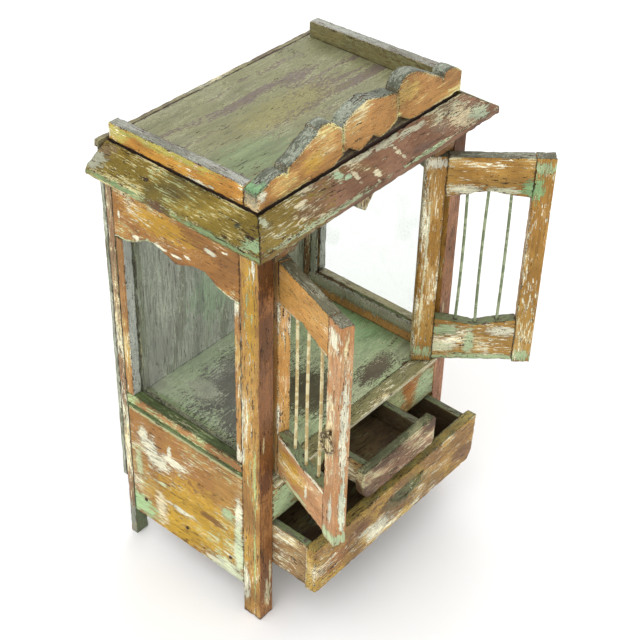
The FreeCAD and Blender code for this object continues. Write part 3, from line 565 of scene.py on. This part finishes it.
def dress_sides():
    golden = srgb(210, 166, 36)
    for side, seed in (("left", 3.0), ("right", 5.0)):
        inward = (1, 0, 0) if side == "left" else (-1, 0, 0)
        out = 0.0 if side == "left" else 1.0
        node = "side_panel_" + side
        coat = painted_wood(
            node, "Y", (srgb(172, 120, 54), srgb(182, 134, 62), srgb(152, 98, 48)),
            (srgb(238, 234, 202), srgb(206, 212, 160)), flake=0.055, bare=0.03, seed=seed,
            dirt=0.2, lines=0.055, edge=0.8, blobs=patches(
                node, ((out, 0.40, 0.32), (10, 56, 36), golden, "top"),
                ((out, 0.62, 0.10), (10, 28, 16), golden, "top"),
                ((out, 0.28, 0.42), (10, 18, 4), srgb(134, 86, 30), "top"),
                ((out, 0.87, 0.81), (10, 5, 9), WHITE, "under"),
                ((out, 0.80, 0.69), (10, 6, 17), WHITE, "under"),
                ((out, 0.72, 0.63), (10, 11, 8), WHITE, "under"),
                ((out, 0.60, 0.72), (10, 15, 4.5), WHITE, "under"),
                ((out, 0.64, 0.80), (10, 2.5, 6), WHITE, "under"),
                ((out, 0.04, 0.60), (10, 4, 24), WHITE, "under"),
                ((out, 0.13, 0.58), (10, 7, 6), MINT, "under"),
                ((out, 0.14, 0.02), (10, 26, 12), srgb(224, 230, 194), "under"),
                ((out, 0.04, 0.30), (10, 5, 30), srgb(216, 226, 186), "under"),
                ((out, 0.55, 0.30), (10, 17, 3.0), WHITE, "under"),
                ((out, 0.26, 0.27), (10, 8, 1.5), srgb(220, 222, 176), "under"),
                ((out, 0.28, 0.05), (10, 9, 2.0), WHITE, "under"),
                ((out, 0.13, 0.19), (10, 6, 1.5), WHITE, "under"),
                ((out, 0.74, 0.20), (10, 7, 18), srgb(238, 224, 182), "under"),
                ((out, 0.73, 0.44), (10, 11, 1.8), srgb(214, 220, 172), "under"),
                ((out, 0.96, 0.10), (10, 20, 11), srgb(174, 206, 148), "under"),
                ((out, 0.93, 0.50), (10, 4, 14), srgb(196, 202, 152), "under"),
                ((out, 0.50, 1.00), (10, 90, 3.0), srgb(196, 196, 142), "under"),
                ((out, 0.88, 0.55), (10, 24, 50), WHITE, "flecks"),
                ((out, 0.25, 0.90), (10, 50, 12), WHITE, "flecks"),
                ((out, 0.15, 0.30), (10, 30, 40), WHITE, "flecks")))
        worn_board(node, coat, step=5.0, seed=seed)

        node = "window_top_rail_" + side
        coat = painted_wood(
            node, "Y", (srgb(164, 112, 46), srgb(148, 98, 42), srgb(176, 124, 50)),
            (WHITE, srgb(200, 214, 164)), flake=0.02, bare=0.015, seed=seed + 1, dirt=0.2,
            lines=0.025, edge=1.0,
            faces=[(inward, (GREY_GREEN, GREY_PALE, GREY_DARK), 0.95)],
            blobs=patches(
                node, ((out, 0.62, 0.42), (10, 34, 10), srgb(198, 152, 32), "top"),
                ((out, 0.60, 0.36), (10, 34, 12), WHITE, "flecks"),
                ((out, 0.95, 0.30), (10, 1.3, 4), WHITE, "under"),
                ((out, 0.81, 0.12), (10, 3.5, 3.2), WHITE, "under"),
                ((out, 0.62, 0.17), (10, 6.5, 2.6), WHITE, "under"),
                ((out, 0.49, 0.16), (10, 6, 1.5), WHITE, "under"),
                ((out, 0.40, 0.22), (10, 3, 1.5), WHITE, "under"),
                ((out, 0.22, 0.43), (10, 6, 1.9), WHITE, "under"),
                ((out, 0.11, 0.51), (10, 3, 1.2), WHITE, "under")))
        worn_board(node, coat, step=4.0, seed=seed + 1)

        node = "window_stiles_" + side
        coat = painted_wood(
            node, "Z", (srgb(192, 142, 76), srgb(170, 122, 64), MUSTARD), (CREAM, WHITE),
            flake=0.09, bare=0.03, seed=seed + 2,
            faces=[(FRONT, (srgb(192, 198, 188), srgb(176, 182, 172), GREY_DARK), 0.95),
                   (REAR, (GREY_GREEN, GREEN, GREY_DARK), 0.9)],
            blobs=patches(node, ((out, 0.03, 0.97), (10, 3, 7), WHITE, "under"),
                          ((out, 0.03, 0.06), (10, 3, 9), WHITE, "under")))
        worn_board(node, coat, step=4.0, seed=seed + 2)

        node = "window_bottom_rail_" + side
        ledge = (srgb(74, 96, 56), srgb(96, 118, 74), srgb(200, 196, 160))
        if side == "right":
            ledge = (srgb(186, 180, 154), srgb(160, 148, 114), srgb(120, 100, 66))
        coat = painted_wood(
            node, "Y", (srgb(188, 136, 76), srgb(176, 122, 66), srgb(160, 176, 116)),
            (CREAM, srgb(186, 204, 146)), flake=0.22, bare=0.03, seed=seed + 3, edge=0.9,
            faces=[(UP, ledge, 0.95)],
            blobs=patches(node, ((out, 0.5, 0.12), (10, 200, 2.6), srgb(88, 118, 66), "over")))
        worn_board(node, coat, step=3.5, bevel=0.45, chip=0.5, seed=seed + 3)

        node = "glass_frame_" + side
        coat = painted_wood(
            node, "Z", (srgb(176, 180, 160), srgb(196, 198, 178), srgb(150, 162, 128)),
            (srgb(206, 190, 144), GREY_DARK), flake=0.05, bare=0.04, seed=seed + 4, edge=0.6,
            # the grey-cream band low on the frame is a painted highlight along the top of its rounded bead;
            # the orange below it is paint
            blobs=patches(node, ((0.5, 0.5, 0.066), (20, 200, 7), srgb(178, 176, 148), "top"),
                          ((0.5, 0.5, 0.015), (20, 200, 4.5), srgb(192, 144, 80), "under")))
        worn_board(node, coat, step=6.0, bevel=0.4, chip=0.4, seed=seed + 4)


def dress_inside():
    node = "back_panel"
    coat = painted_wood(
        node, "Z", (srgb(166, 170, 148), srgb(188, 192, 172), srgb(132, 138, 114)),
        (srgb(200, 202, 178), srgb(116, 114, 90)), flake=0.03, bare=0.01, seed=11, edge=0.3,
        streak=0.8, patch_scale=60, stretch=0.15, gloss=0.25, specks=0.02, lines=0.035,
        strand=1.6, dirt=0.45,
        faces=[(REAR, (srgb(126, 104, 74), srgb(108, 88, 62), srgb(150, 146, 118)), 0.85)],
        blobs=patches(node, ((0.62, 0.0, 0.52), (24, 10, 60), srgb(142, 176, 132), "top"),
                      ((0.46, 0.0, 0.42), (26, 10, 30), srgb(150, 178, 136), "top")))
    worn_board(node, coat, step=14.0, bevel=0.6, seed=11)
    node = "floor_board"
    worn, fresh = srgb(84, 78, 58), srgb(168, 206, 148)
    coat = painted_wood(
        node, "X", (srgb(190, 208, 160), srgb(206, 216, 174), srgb(178, 190, 148)),
        (srgb(206, 202, 166), worn), flake=0.04, bare=0.012, seed=12, edge=0.3,
        gloss=0.5, patch_scale=60, stretch=0.5, streak=0.25, specks=0.02, lines=0.012,
        strand=0.35,
        blobs=patches(node, ((0.35, 0.60, 0.95), (52, 34, 9), worn, "under"),
                      ((0.22, 0.36, 0.95), (28, 26, 9), worn, "under"),
                      ((0.23, 0.74, 0.95), (10, 17, 9), srgb(190, 190, 164), "over"),
                      ((0.30, 0.50, 0.95), (9, 6, 9), srgb(190, 190, 164), "over"),
                      ((0.47, 0.28, 0.95), (32, 28, 9), srgb(96, 90, 66), "under"),
                      ((0.74, 0.10, 0.95), (24, 10, 9), srgb(112, 100, 78), "under"),
                      ((0.93, 0.55, 0.95), (26, 50, 9), fresh, "top")))
    worn_board(node, coat, step=14.0, bevel=0.5, seed=12)
    coat = painted_wood(
        "front_sill", "X", (srgb(152, 148, 98), srgb(178, 172, 124), srgb(128, 118, 70)),
        (CREAM, WHITE), flake=0.14, bare=0.05, seed=13, edge=1.0,
        faces=[(FRONT, (CREAM, WHITE, srgb(150, 120, 76)), 0.7)])
    worn_board("front_sill", coat, step=4.0, bevel=0.5, chip=0.5, seed=13)
    coat = painted_wood(
        "front_top_rail", "X", (srgb(146, 100, 54), srgb(122, 86, 46), OLIVE_DARK), (CREAM, MINT),
        flake=0.06, bare=0.04, seed=14,
        faces=[(REAR, (GREY_GREEN, GREY_DARK, GREEN), 0.9)])
    worn_board("front_top_rail", coat, step=5.0, seed=14)
    for side, seed in (("left", 15), ("right", 16)):
        node = "apron_bracket_" + side
        coat = painted_wood(
            node, "X", (srgb(182, 126, 60), srgb(156, 132, 74), srgb(154, 170, 116)),
            (MINT, CREAM), flake=0.12, bare=0.03, seed=seed, edge=0.9, blobs=patches(
                node, ((0.12 if side == "right" else 0.88, 0, 0.6), (14, 12, 24),
                       srgb(172, 180, 128), "under"),
                ((0.80 if side == "right" else 0.20, 0, 0.4), (16, 12, 22), MINT, "under"),
                ((0.50, 0, 0.6), (9, 12, 14), srgb(186, 118, 50), "over")))
        worn_board(node, coat, step=4.0, seed=seed)
    coat = painted_wood("runners", "Y", (srgb(110, 84, 54), srgb(92, 70, 46), OLIVE_DARK),
                        (srgb(140, 130, 92), GREY_DARK), flake=0.06, bare=0.12, seed=17)
    for node in ("big_drawer_runners", "small_drawer_runners"):
        worn_board(node, coat, step=10.0, bevel=0.5, seed=17)
    coat = painted_wood("bearers", "X", (srgb(122, 92, 58), srgb(98, 76, 48), OLIVE_DARK),
                        (srgb(140, 130, 92), GREY_DARK), flake=0.06, bare=0.10, seed=18)
    worn_board("drawer_bearers", coat, step=8.0, bevel=0.5, seed=18)


# ---- top ----------------------------------------------------------------------------------------------
def dress_top():
    # the top board's front and side edges are painted shade: the dark gap under the gallery rails
    gap_shade = (srgb(78, 58, 50), srgb(62, 46, 38), srgb(44, 32, 24))
    node = "top_board"
    coat = painted_wood(
        node, "X", (srgb(136, 136, 98), srgb(150, 150, 116), srgb(116, 104, 92)),
        (srgb(116, 104, 92), srgb(112, 104, 76)), flake=0.07, bare=0.004, seed=21, edge=0.2,
        gloss=0.6, streak=0.2, patch_scale=70, stretch=0.14, specks=0.004, lines=0.01,
        strand=0.5,
        # painted shade on the front and side edges, for the gap under the gallery
        faces=[(FRONT, gap_shade, 1.0), ((-1, 0, 0), gap_shade, 1.0), ((1, 0, 0), gap_shade, 1.0)],
        blobs=patches(node, ((0.22, 0.34, 1.0), (40, 22, 10), srgb(136, 152, 108), "top"),
                      ((0.50, 0.55, 1.0), (50, 16, 10), srgb(142, 136, 84), "top"),
                      # painted shade: the two darker, purplish patches near the front, by the gallery's front
                      # rail
                      ((0.34, 0.12, 1.0), (30, 9, 10), srgb(124, 112, 104), "top"),
                      ((0.70, 0.22, 1.0), (40, 14, 10), srgb(136, 128, 104), "top")))
    worn_board(node, coat, step=8.0, seed=21)
    node = "cornice_front"
    chip, strip, cream = srgb(174, 196, 160), srgb(196, 194, 166), srgb(216, 206, 172)
    coat = painted_wood(
        node, "X", (srgb(146, 108, 82), srgb(132, 94, 68), srgb(124, 94, 58)),
        (srgb(190, 190, 158), srgb(206, 196, 160)), flake=0.025, bare=0.03, seed=22, edge=1.0,
        blobs=patches(
            node, ((0.10, 0.5, 0.7), (46, 40, 20), srgb(134, 116, 38), "top"),
            ((0.22, 0.5, 0.58), (14, 30, 3.2), srgb(114, 84, 56), "top"),
            ((0.48, 0.8, 0.93), (14, 30, 1.3), strip, "under"),
            ((0.57, 0.8, 0.905), (16, 30, 1.5), strip, "under"),
            ((0.67, 0.8, 0.86), (17, 30, 1.2), strip, "under"),
            ((0.365, 0.7, 0.84), (5, 30, 2.2), chip, "under"),
            ((0.385, 0.5, 0.73), (4, 30, 1.2), chip, "under"),
            ((0.41, 0.5, 0.67), (2.2, 30, 2.2), cream, "under"),
            ((0.475, 0.2, 0.50), (3, 30, 1.8), cream, "under"),
            ((0.46, 0.0, 0.36), (1.4, 30, 0.9), cream, "under"),
            ((0.58, 0.6, 0.75), (1.8, 30, 1.5), cream, "under"),
            ((0.582, 0.4, 0.62), (2.4, 30, 1.4), cream, "under"),
            ((0.586, 0.2, 0.50), (1.6, 30, 1.4), cream, "under"),
            ((0.665, 0.0, 0.29), (24, 30, 1.5), srgb(178, 194, 150), "under"),
            ((0.24, 0.0, 0.28), (54, 30, 1.6), srgb(182, 190, 150), "under"),
            ((0.66, 0.2, 0.44), (12, 30, 1.6), srgb(116, 90, 76), "top"),
            ((0.76, 0.4, 0.60), (9, 30, 3.0), srgb(124, 98, 80), "top"),
            ((0.86, 0.3, 0.50), (15, 30, 5.0), srgb(206, 190, 152), "under"),
            ((0.92, 0.3, 0.45), (11, 30, 3.0), srgb(180, 190, 158), "under"),
            ((0.82, 0.7, 0.85), (15, 30, 2.4), srgb(132, 110, 82), "top"),
            ((0.21, 0.7, 0.77), (6, 30, 0.9), cream, "under"),
            ((0.25, 0.9, 0.94), (9, 30, 0.8), cream, "under"),
            ((0.08, 0.7, 0.82), (3, 30, 3.0), srgb(200, 204, 168), "under"),
            ((0.12, 0.5, 0.6), (44, 30, 14), cream, "flecks"),
            ((0.90, 0.5, 0.6), (36, 30, 14), cream, "flecks")))
    worn_board(node, coat, step=4.0, bevel=0.9, chip=1.0, seed=22)
    for side, seed in (("left", 23), ("right", 24)):
        node = "cornice_side_" + side
        out, slope = (0.0, 0.4) if side == "left" else (1.0, 0.6)
        border = srgb(132, 154, 102)
        coat = painted_wood(
            node, "Y", (srgb(126, 106, 28), srgb(106, 92, 34), srgb(140, 118, 38)),
            (srgb(206, 196, 142), srgb(170, 178, 130)), flake=0.012, bare=0.03, seed=seed,
            edge=0.9, lines=0.035, specks=0.012, dirt=0.4, blobs=patches(
                node, ((out, 0.24, 0.20), (6, 44, 2.2), border, "under"),
                ((out, 0.82, 0.20), (6, 34, 2.2), border, "under"),
                ((slope, 0.97, 0.50), (20, 8, 4), srgb(166, 166, 142), "under"),
                ((slope, 0.96, 0.80), (20, 9, 4), srgb(128, 106, 76), "top"),
                ((slope, 0.70, 0.70), (20, 52, 20), CREAM, "flecks"),
                ((slope, 0.15, 0.60), (20, 24, 16), CREAM, "flecks"),
                ((slope, 0.07, 0.45), (20, 8, 2.6), srgb(152, 176, 130), "under"),
                ((slope, 0.18, 0.66), (20, 2.6, 1.4), srgb(70, 74, 52), "over"),
                ((slope, 0.69, 0.64), (20, 1.7, 0.9), DARK, "over"),
                ((out, 0.57, 0.22), (6, 11, 3.2), srgb(100, 68, 42), "over")))
        worn_board(node, coat, step=4.0, bevel=0.9, chip=1.0, seed=seed)
    coat = painted_wood("rear_batten", "X", (srgb(144, 138, 100), srgb(122, 108, 80), GREY_GREEN),
                        (CREAM, GREY_PALE), flake=0.08, bare=0.04, seed=25)
    worn_board("rear_batten", coat, step=5.0, bevel=0.5, seed=25)
    node = "gallery_front"
    coat = painted_wood(
        node, "X", (srgb(196, 144, 80), srgb(176, 126, 68), srgb(204, 160, 92)),
        (CREAM, srgb(222, 210, 140)), flake=0.02, bare=0.015, seed=26, edge=1.1, lines=0.045,
        faces=[UP_GREY, ((0.5, 0, 1), TOP_GREYS, 0.9), ((-0.5, 0, 1), TOP_GREYS, 0.9),
               ((1.2, 0, 1), TOP_GREYS, 0.9), ((-1.2, 0, 1), TOP_GREYS, 0.9),
               (REAR, (GREY_GREEN, OLIVE_DARK, GREY_DARK), 0.85)],
        blobs=patches(
            node, ((0.25, 0, 0.35), (12, 9, 7), srgb(200, 158, 62), "top"),
            ((0.70, 0, 0.62), (16, 9, 9), srgb(206, 172, 92), "top"),
            ((0.66, 0, 0.80), (13, 6, 9), CREAM, "flecks"),
            ((0.44, 0, 0.80), (24, 6, 8), CREAM, "flecks"),
            ((0.30, 0, 0.84), (14, 6, 8), CREAM, "flecks"),
            ((0.387, 0, 0.42), (1.0, 3, 12), srgb(202, 206, 128), "under"),
            ((0.657, 0, 0.46), (1.0, 3, 10), srgb(218, 198, 132), "under"),
            ((0.0, 0, 0.16), (2.5, 12, 12), srgb(230, 204, 156), "under"),
            ((0.02, 0, 0.28), (4, 3, 5), WHITE, "under"),
            ((0.0, 0.5, 0.42), (8, 20, 4), srgb(132, 176, 124), "over")))
    worn_board(node, coat, step=3.0, bevel=0.7, chip=0.9, seed=26)
    for side, seed in (("left", 27), ("right", 28)):
        node = "gallery_side_" + side
        out = 0.0 if side == "left" else 1.0
        inward = (1 - 2 * out, 0, 0)
        coat = painted_wood(
            node, "Y", (srgb(218, 160, 66), srgb(202, 142, 60), srgb(220, 174, 84)),
            (srgb(222, 208, 140), WHITE), flake=0.03, bare=0.015, seed=seed, edge=0.7,
            lines=0.05,
            faces=[(UP, (srgb(126, 130, 118), srgb(160, 164, 156), srgb(84, 66, 58)), 0.95),
                   (inward, (srgb(128, 130, 92), srgb(110, 106, 68), srgb(66, 56, 40)), 0.95),
                   (REAR, (srgb(170, 160, 90), GREY_PALE, OLIVE), 0.8)],
            blobs=patches(
                node, ((out, 0.62, 0.80), (5, 52, 4.5), srgb(192, 186, 92), "top"),
                ((out, 0.92, 0.50), (5, 12, 6), srgb(184, 178, 88), "top"),
                ((out, 0.50, 0.60), (5, 44, 8), CREAM, "flecks"),
                ((out, 0.31, 0.08), (5, 7, 1.6), WHITE, "under"),
                ((out, 0.23, 0.16), (5, 3, 1.2), WHITE, "under")))
        worn_board(node, coat, step=3.5, chip=0.8, seed=seed)


# ---- doors ----------------------------------------------------------------------------------------------
def dress_door(tag, turn, seed, tops, unders, flake, lines, patches):
    """One door; patches: blobs for each piece, as shares of its box."""
    for part, grain, look in (("hinge_stile", "Z", 0), ("lock_stile", "Z", 1),
                              ("top_rail", "X", 2), ("bottom_rail", "X", 3)):
        node = tag + "_" + part
        faces = [(UP, TOP_GREENS if part == "bottom_rail" else TOP_GREYS, 0.92)]
        blobs = [(spot(node, *where) + turned_to(shift, turn) * MM, radii, colour, layer)
                 for where, shift, radii, colour, layer in patches[look]]
        coat = painted_wood(node, grain, tops[look], unders, flake=flake[look], bare=0.03,
                            turn=turn, seed=seed + look, faces=faces, blobs=blobs, edge=0.75,
                            dirt=0.2, lines=lines)
        worn_board(node, coat, turn=turn, step=3.5, bevel=0.7, chip=0.8, seed=seed + look)


def dress_doors():
    middle = (0.5, 0.5, 0.5)
    orange = (srgb(212, 162, 86), srgb(200, 144, 70), srgb(218, 168, 114))
    salmon = (srgb(206, 156, 108), srgb(192, 136, 84), srgb(214, 170, 118))
    dress_door("left_door", LEFT_TURN, 31, (orange, salmon, orange, salmon), (WHITE, CREAM),
               (0.07, 0.07, 0.02, 0.05), 0.04,
               ([((0.5, 0.5, 0.3), (-9, 0, 0), (5, 5, 60), WHITE, "under"),
                 ((0.5, 0.5, 0.8), (-9, 0, 0), (5, 5, 22), WHITE, "under")],
                [(middle, (9, 0, 14), (6, 3.2, 50), WHITE, "under"),
                 (middle, (9, 1, -72), (6, 3.0, 34), srgb(228, 234, 202), "under"),
                 (middle, (9, -1, 92), (6, 1.6, 12), CREAM, "under"),
                 (middle, (0, -6, 96), (7, 3, 9), WHITE, "under"),
                 ((0.5, 0.5, 0.03), (0, 0, 0), (20, 20, 6), srgb(196, 212, 164), "under"),
                 ((0.5, 0.5, 0.16), (2, -6, 0), (2.2, 4, 14), WHITE, "under"),
                 ((0.5, 0.5, 0.5), (0, -6, 0), (9, 4, 90), WHITE, "flecks")],
                [((0.5, 0.5, 0.06), (0, 0, 0), (40, 20, 1.6), CREAM, "under"),
                 ((0.5, 0.5, 0.5), (26, -6, 6), (14, 4, 5), WHITE, "flecks")],
                [((0.5, 0.5, 0.90), (0, 0, 0), (40, 20, 2.4), WHITE, "under"),
                 ((0.5, 0.5, 0.5), (-14, -6, 0), (22, 4, 12), srgb(198, 154, 48), "top"),
                 ((0.5, 0.5, 0.4), (10, -6, 0), (2.0, 4, 7), WHITE, "under"),
                 ((0.5, 0.5, 0.08), (-8, 0, 0), (22, 20, 2.4), srgb(196, 206, 156), "under")]))
    brown = (srgb(188, 144, 66), srgb(170, 124, 50), srgb(198, 158, 90))
    green = srgb(150, 186, 126)
    dress_door("right_door", RIGHT_TURN, 41, (brown, brown, brown, brown),
               (srgb(228, 214, 164), WHITE), (0.03, 0.09, 0.06, 0.10), 0.07,
               ([((0.5, 0.5, 0.60), (3, 6, 0), (1.0, 4, 40), srgb(222, 216, 178), "under"),
                 ((0.5, 0.5, 0.28), (4, 6, 0), (0.9, 4, 30), srgb(222, 212, 164), "under"),
                 ((0.5, 0.5, 0.97), (0, 0, 0), (12, 12, 5), srgb(226, 222, 198), "under"),
                 ((0.5, 0.5, 0.05), (0, 0, 0), (12, 10, 7), MINT, "under"),
                 ((0.5, 0.5, 0.5), (7, 6, 0), (5, 8, 110), CREAM, "flecks")],
                [((0.5, 0.5, 0.95), (0, 0, 0), (12, 12, 6), MINT, "under"),
                 ((0.5, 0.5, 0.86), (5, 6, 0), (5, 8, 12), green, "under"),
                 ((0.5, 0.5, 0.03), (0, 0, 0), (12, 12, 7), MINT, "under"),
                 ((0.5, 0.5, 0.3), (0, 6, 0), (12, 8, 50), CREAM, "flecks")],
                [((0.5, 0.5, 0.20), (20, 0, 0), (16, 20, 4.5), srgb(226, 222, 190), "under"),
                 ((0.5, 0.5, 0.20), (-12, 0, -1), (16, 20, 3.4), srgb(222, 222, 186), "under"),
                 ((0.5, 0.5, 0.26), (-36, 6, 0), (8, 10, 7), green, "under"),
                 ((0.5, 0.5, 0.25), (0, 6, 0), (44, 20, 12), CREAM, "flecks"),
                 ((0.5, 0.5, 0.85), (-20, 6, 0), (20, 20, 6), CREAM, "flecks")],
                [((0.5, 0.5, 0.74), (28, 6, 0), (12, 8, 6), MINT, "under"),
                 ((0.5, 0.5, 0.45), (4, 6, 0), (4, 8, 14), srgb(190, 206, 160), "under"),
                 ((0.5, 0.5, 0.72), (-26, 6, 0), (12, 8, 5), WHITE, "under"),
                 ((0.5, 0.5, 0.30), (30, 6, 0), (12, 8, 5), srgb(214, 216, 176), "under"),
                 ((0.5, 0.5, 0.06), (-6, 0, 0), (44, 20, 4), MINT, "under"),
                 ((0.5, 0.5, 0.5), (0, 6, 0), (44, 20, 24), CREAM, "flecks")]))


# ---- drawers ----------------------------------------------------------------------------------------------
def dress_drawers():
    node = "big_drawer_front"
    coat = painted_wood(
        node, "X", (srgb(204, 166, 70), srgb(176, 132, 70), srgb(214, 182, 96)),
        (srgb(238, 226, 188), WHITE), flake=0.07, bare=0.07, seed=51, edge=1.0, lines=0.06,
        dirt=0.5, streak=0.9,
        faces=[(UP, (srgb(168, 148, 78), srgb(124, 132, 82), BROWN), 0.8),
               (REAR, (srgb(88, 70, 44), srgb(70, 56, 38), OLIVE_DARK), 0.9)],
        blobs=patches(node, ((0.37, 0, 0.30), (13, 12, 7), WHITE, "under"),
                      ((0.30, 0, 0.45), (12, 12, 3), srgb(228, 222, 188), "under"),
                      ((0.5, 0, 0.3), (90, 12, 20), CREAM, "flecks"),
                      ((0.72, 0, 0.40), (30, 12, 9), srgb(196, 152, 76), "top"),
                      ((0.12, 0, 0.40), (20, 12, 12), srgb(150, 96, 52), "top"),
                      ((0.26, 0, 0.62), (14, 12, 6), srgb(152, 104, 64), "top"),
                      ((0.40, 0, 0.62), (7, 12, 3), srgb(130, 84, 46), "top"),
                      ((0.92, 0, 0.30), (14, 12, 8), srgb(148, 106, 66), "top"),
                      ((0.544, 0.2, 0.60), (25, 12, 9), srgb(122, 132, 90), "over")))
    worn_board(node, coat, step=3.5, bevel=1.0, chip=1.1, seed=51)
    sides = (srgb(176, 142, 92), srgb(150, 112, 68), srgb(190, 170, 120))
    dark_inside = (srgb(74, 60, 40), srgb(58, 48, 34), srgb(96, 102, 62))
    for side, seed in (("left", 52), ("right", 53)):
        inward = (1, 0, 0) if side == "left" else (-1, 0, 0)
        for drawer in ("big", "small"):
            node = drawer + "_drawer_side_" + side
            coat = painted_wood(node, "Y", sides, (CREAM, WHITE), flake=0.18, bare=0.06,
                                seed=seed, edge=0.8,
                                faces=[(UP, TOP_GREENS, 0.95), (inward, dark_inside, 0.9)])
            worn_board(node, coat, step=5.0, bevel=0.6, seed=seed)
    for node, grain, seed in (("big_drawer_back", "X", 54), ("big_drawer_bottom", "X", 55),
                              ("small_drawer_back", "X", 56), ("small_drawer_bottom", "X", 57)):
        coat = painted_wood(node, grain, (srgb(100, 82, 50), srgb(76, 58, 38), srgb(112, 114, 68)),
                            (srgb(134, 128, 84), GREY_DARK), flake=0.12, bare=0.08, seed=seed,
                            gloss=0.3)
        worn_board(node, coat, step=8.0, bevel=0.5, seed=seed)
    node = "small_drawer_front"
    coat = painted_wood(
        node, "X", (srgb(136, 98, 66), srgb(112, 80, 52), srgb(176, 136, 100)),
        (srgb(222, 206, 168), srgb(190, 184, 140)), flake=0.14, bare=0.08, seed=58, edge=1.0,
        lines=0.08, dirt=0.5,
        faces=[(UP, (srgb(106, 116, 80), srgb(146, 148, 112), OLIVE_DARK), 0.95),
               (REAR, (srgb(104, 92, 58), srgb(88, 78, 50), OLIVE_DARK), 0.9)])
    worn_board(node, coat, step=3.0, bevel=0.9, chip=1.1, seed=58)


# ---- wire, iron, glass --------------------------------------------------------------------------------------
def metal(name, dark, light, roughness, metallic, share, scale=420):
    g = Graph(name)
    point = g.node("ShaderNodeTexCoord").outputs["Object"]
    spots = g.noise(point, scale, 4, 0.65, 0.3)
    fine = g.noise(point, 1500, 2, 0.6)
    mask = g.step(spots, 0.56 - 0.12 * share, 0.60 - 0.12 * share)
    shader = g.node("ShaderNodeBsdfPrincipled")
    colour = g.tint(g.mix(mask, dark, light), g.math("ADD", 0.75, g.math("MULTIPLY", fine, 0.5)))
    g.put(shader.inputs["Base Color"], colour)
    shader.inputs["Metallic"].default_value = metallic
    g.put(shader.inputs["Roughness"], g.math("ADD", roughness, g.math("MULTIPLY", mask, 0.15)))
    bump = g.node("ShaderNodeBump")
    bump.inputs["Strength"].default_value = 0.7
    bump.inputs["Distance"].default_value = 0.25 * MM
    g.put(bump.inputs["Height"], g.math("ADD", mask, g.math("MULTIPLY", fine, 0.6)))
    g.put(shader.inputs["Normal"], bump.outputs["Normal"])
    g.tree.links.new(shader.outputs[0], g.output.inputs["Surface"])
    return g.material


def window_pane(name, seed):
    """Clear old glass with dusty smears and specks; it mirrors a little on its outer sides."""
    g = Graph(name)
    point = g.vector("ADD", g.node("ShaderNodeTexCoord").outputs["Object"], (seed, seed, 0))
    clear = g.node("ShaderNodeBsdfTransparent")
    clear.inputs["Color"].default_value = (0.95, 0.97, 0.955, 1)
    shine = g.node("ShaderNodeBsdfGlossy")
    shine.inputs["Roughness"].default_value = 0.05
    fresnel = g.node("ShaderNodeFresnel")
    fresnel.inputs["IOR"].default_value = 1.35
    outer = g.math("SUBTRACT", 1.0, g.node("ShaderNodeNewGeometry").outputs["Backfacing"])
    glass = g.node("ShaderNodeMixShader")
    g.put(glass.inputs[0], g.math("MULTIPLY", fresnel.outputs[0], outer))
    g.put(glass.inputs[1], clear.outputs[0])
    g.put(glass.inputs[2], shine.outputs[0])
    dust = g.node("ShaderNodeBsdfDiffuse")
    dust.inputs["Color"].default_value = srgb(206, 206, 190)
    smears = g.step(g.noise(point, 26, 5, 0.62, 0.8), 0.50, 0.68)
    specks = g.step(g.noise(point, 900, 2, 0.6), 0.66, 0.70)
    film = g.node("ShaderNodeMixShader")
    amount = g.math("ADD", g.math("MULTIPLY", smears, 0.05), g.math("MULTIPLY", specks, 0.30))
    g.put(film.inputs[0], g.math("ADD", amount, 0.015))
    g.put(film.inputs[1], glass.outputs[0])
    g.put(film.inputs[2], dust.outputs[0])
    g.tree.links.new(film.outputs[0], g.output.inputs["Surface"])
    return g.material


def give(node, material):
    mesh = NODES[node].data
    mesh.materials.clear()
    mesh.materials.append(material)


def dress_metal():
    iron = metal("iron", srgb(58, 46, 38), srgb(104, 76, 54), 0.55, 0.6, 0.3)
    for node in ("nails", "turn_button_pin", "left_door_pivot_pins", "right_door_pivot_pins"):
        give(node, iron)
    bronze = metal("bronze", srgb(96, 82, 60), srgb(190, 176, 140), 0.34, 0.7, 0.45)
    for node in ("ring_eye", "pull_ring"):
        give(node, bronze)
    give("left_door_wires", metal("wire_ochre", srgb(184, 160, 106), srgb(212, 202, 158), 0.55, 0.0,
                                  0.6, scale=110))
    give("right_door_wires", metal("wire_mint", srgb(114, 128, 92), srgb(156, 168, 132), 0.55,
                                   0.0, 0.6, scale=110))
    for side, seed in (("left", 0.0), ("right", 3.0)):
        give("window_glass_" + side, window_pane("pane_" + side, seed))


def dress_button():
    coat = painted_wood("turn_button", "Z", (srgb(150, 118, 84), srgb(124, 96, 66), BROWN),
                        (srgb(204, 186, 142), GREY_PALE), flake=0.06, bare=0.08, seed=61, edge=0.7)
    worn_board("turn_button", coat, step=2.5, bevel=0.6, seed=61)


dress_posts()
dress_sides()
dress_inside()
dress_top()
dress_doors()
dress_drawers()
dress_metal()
dress_button()
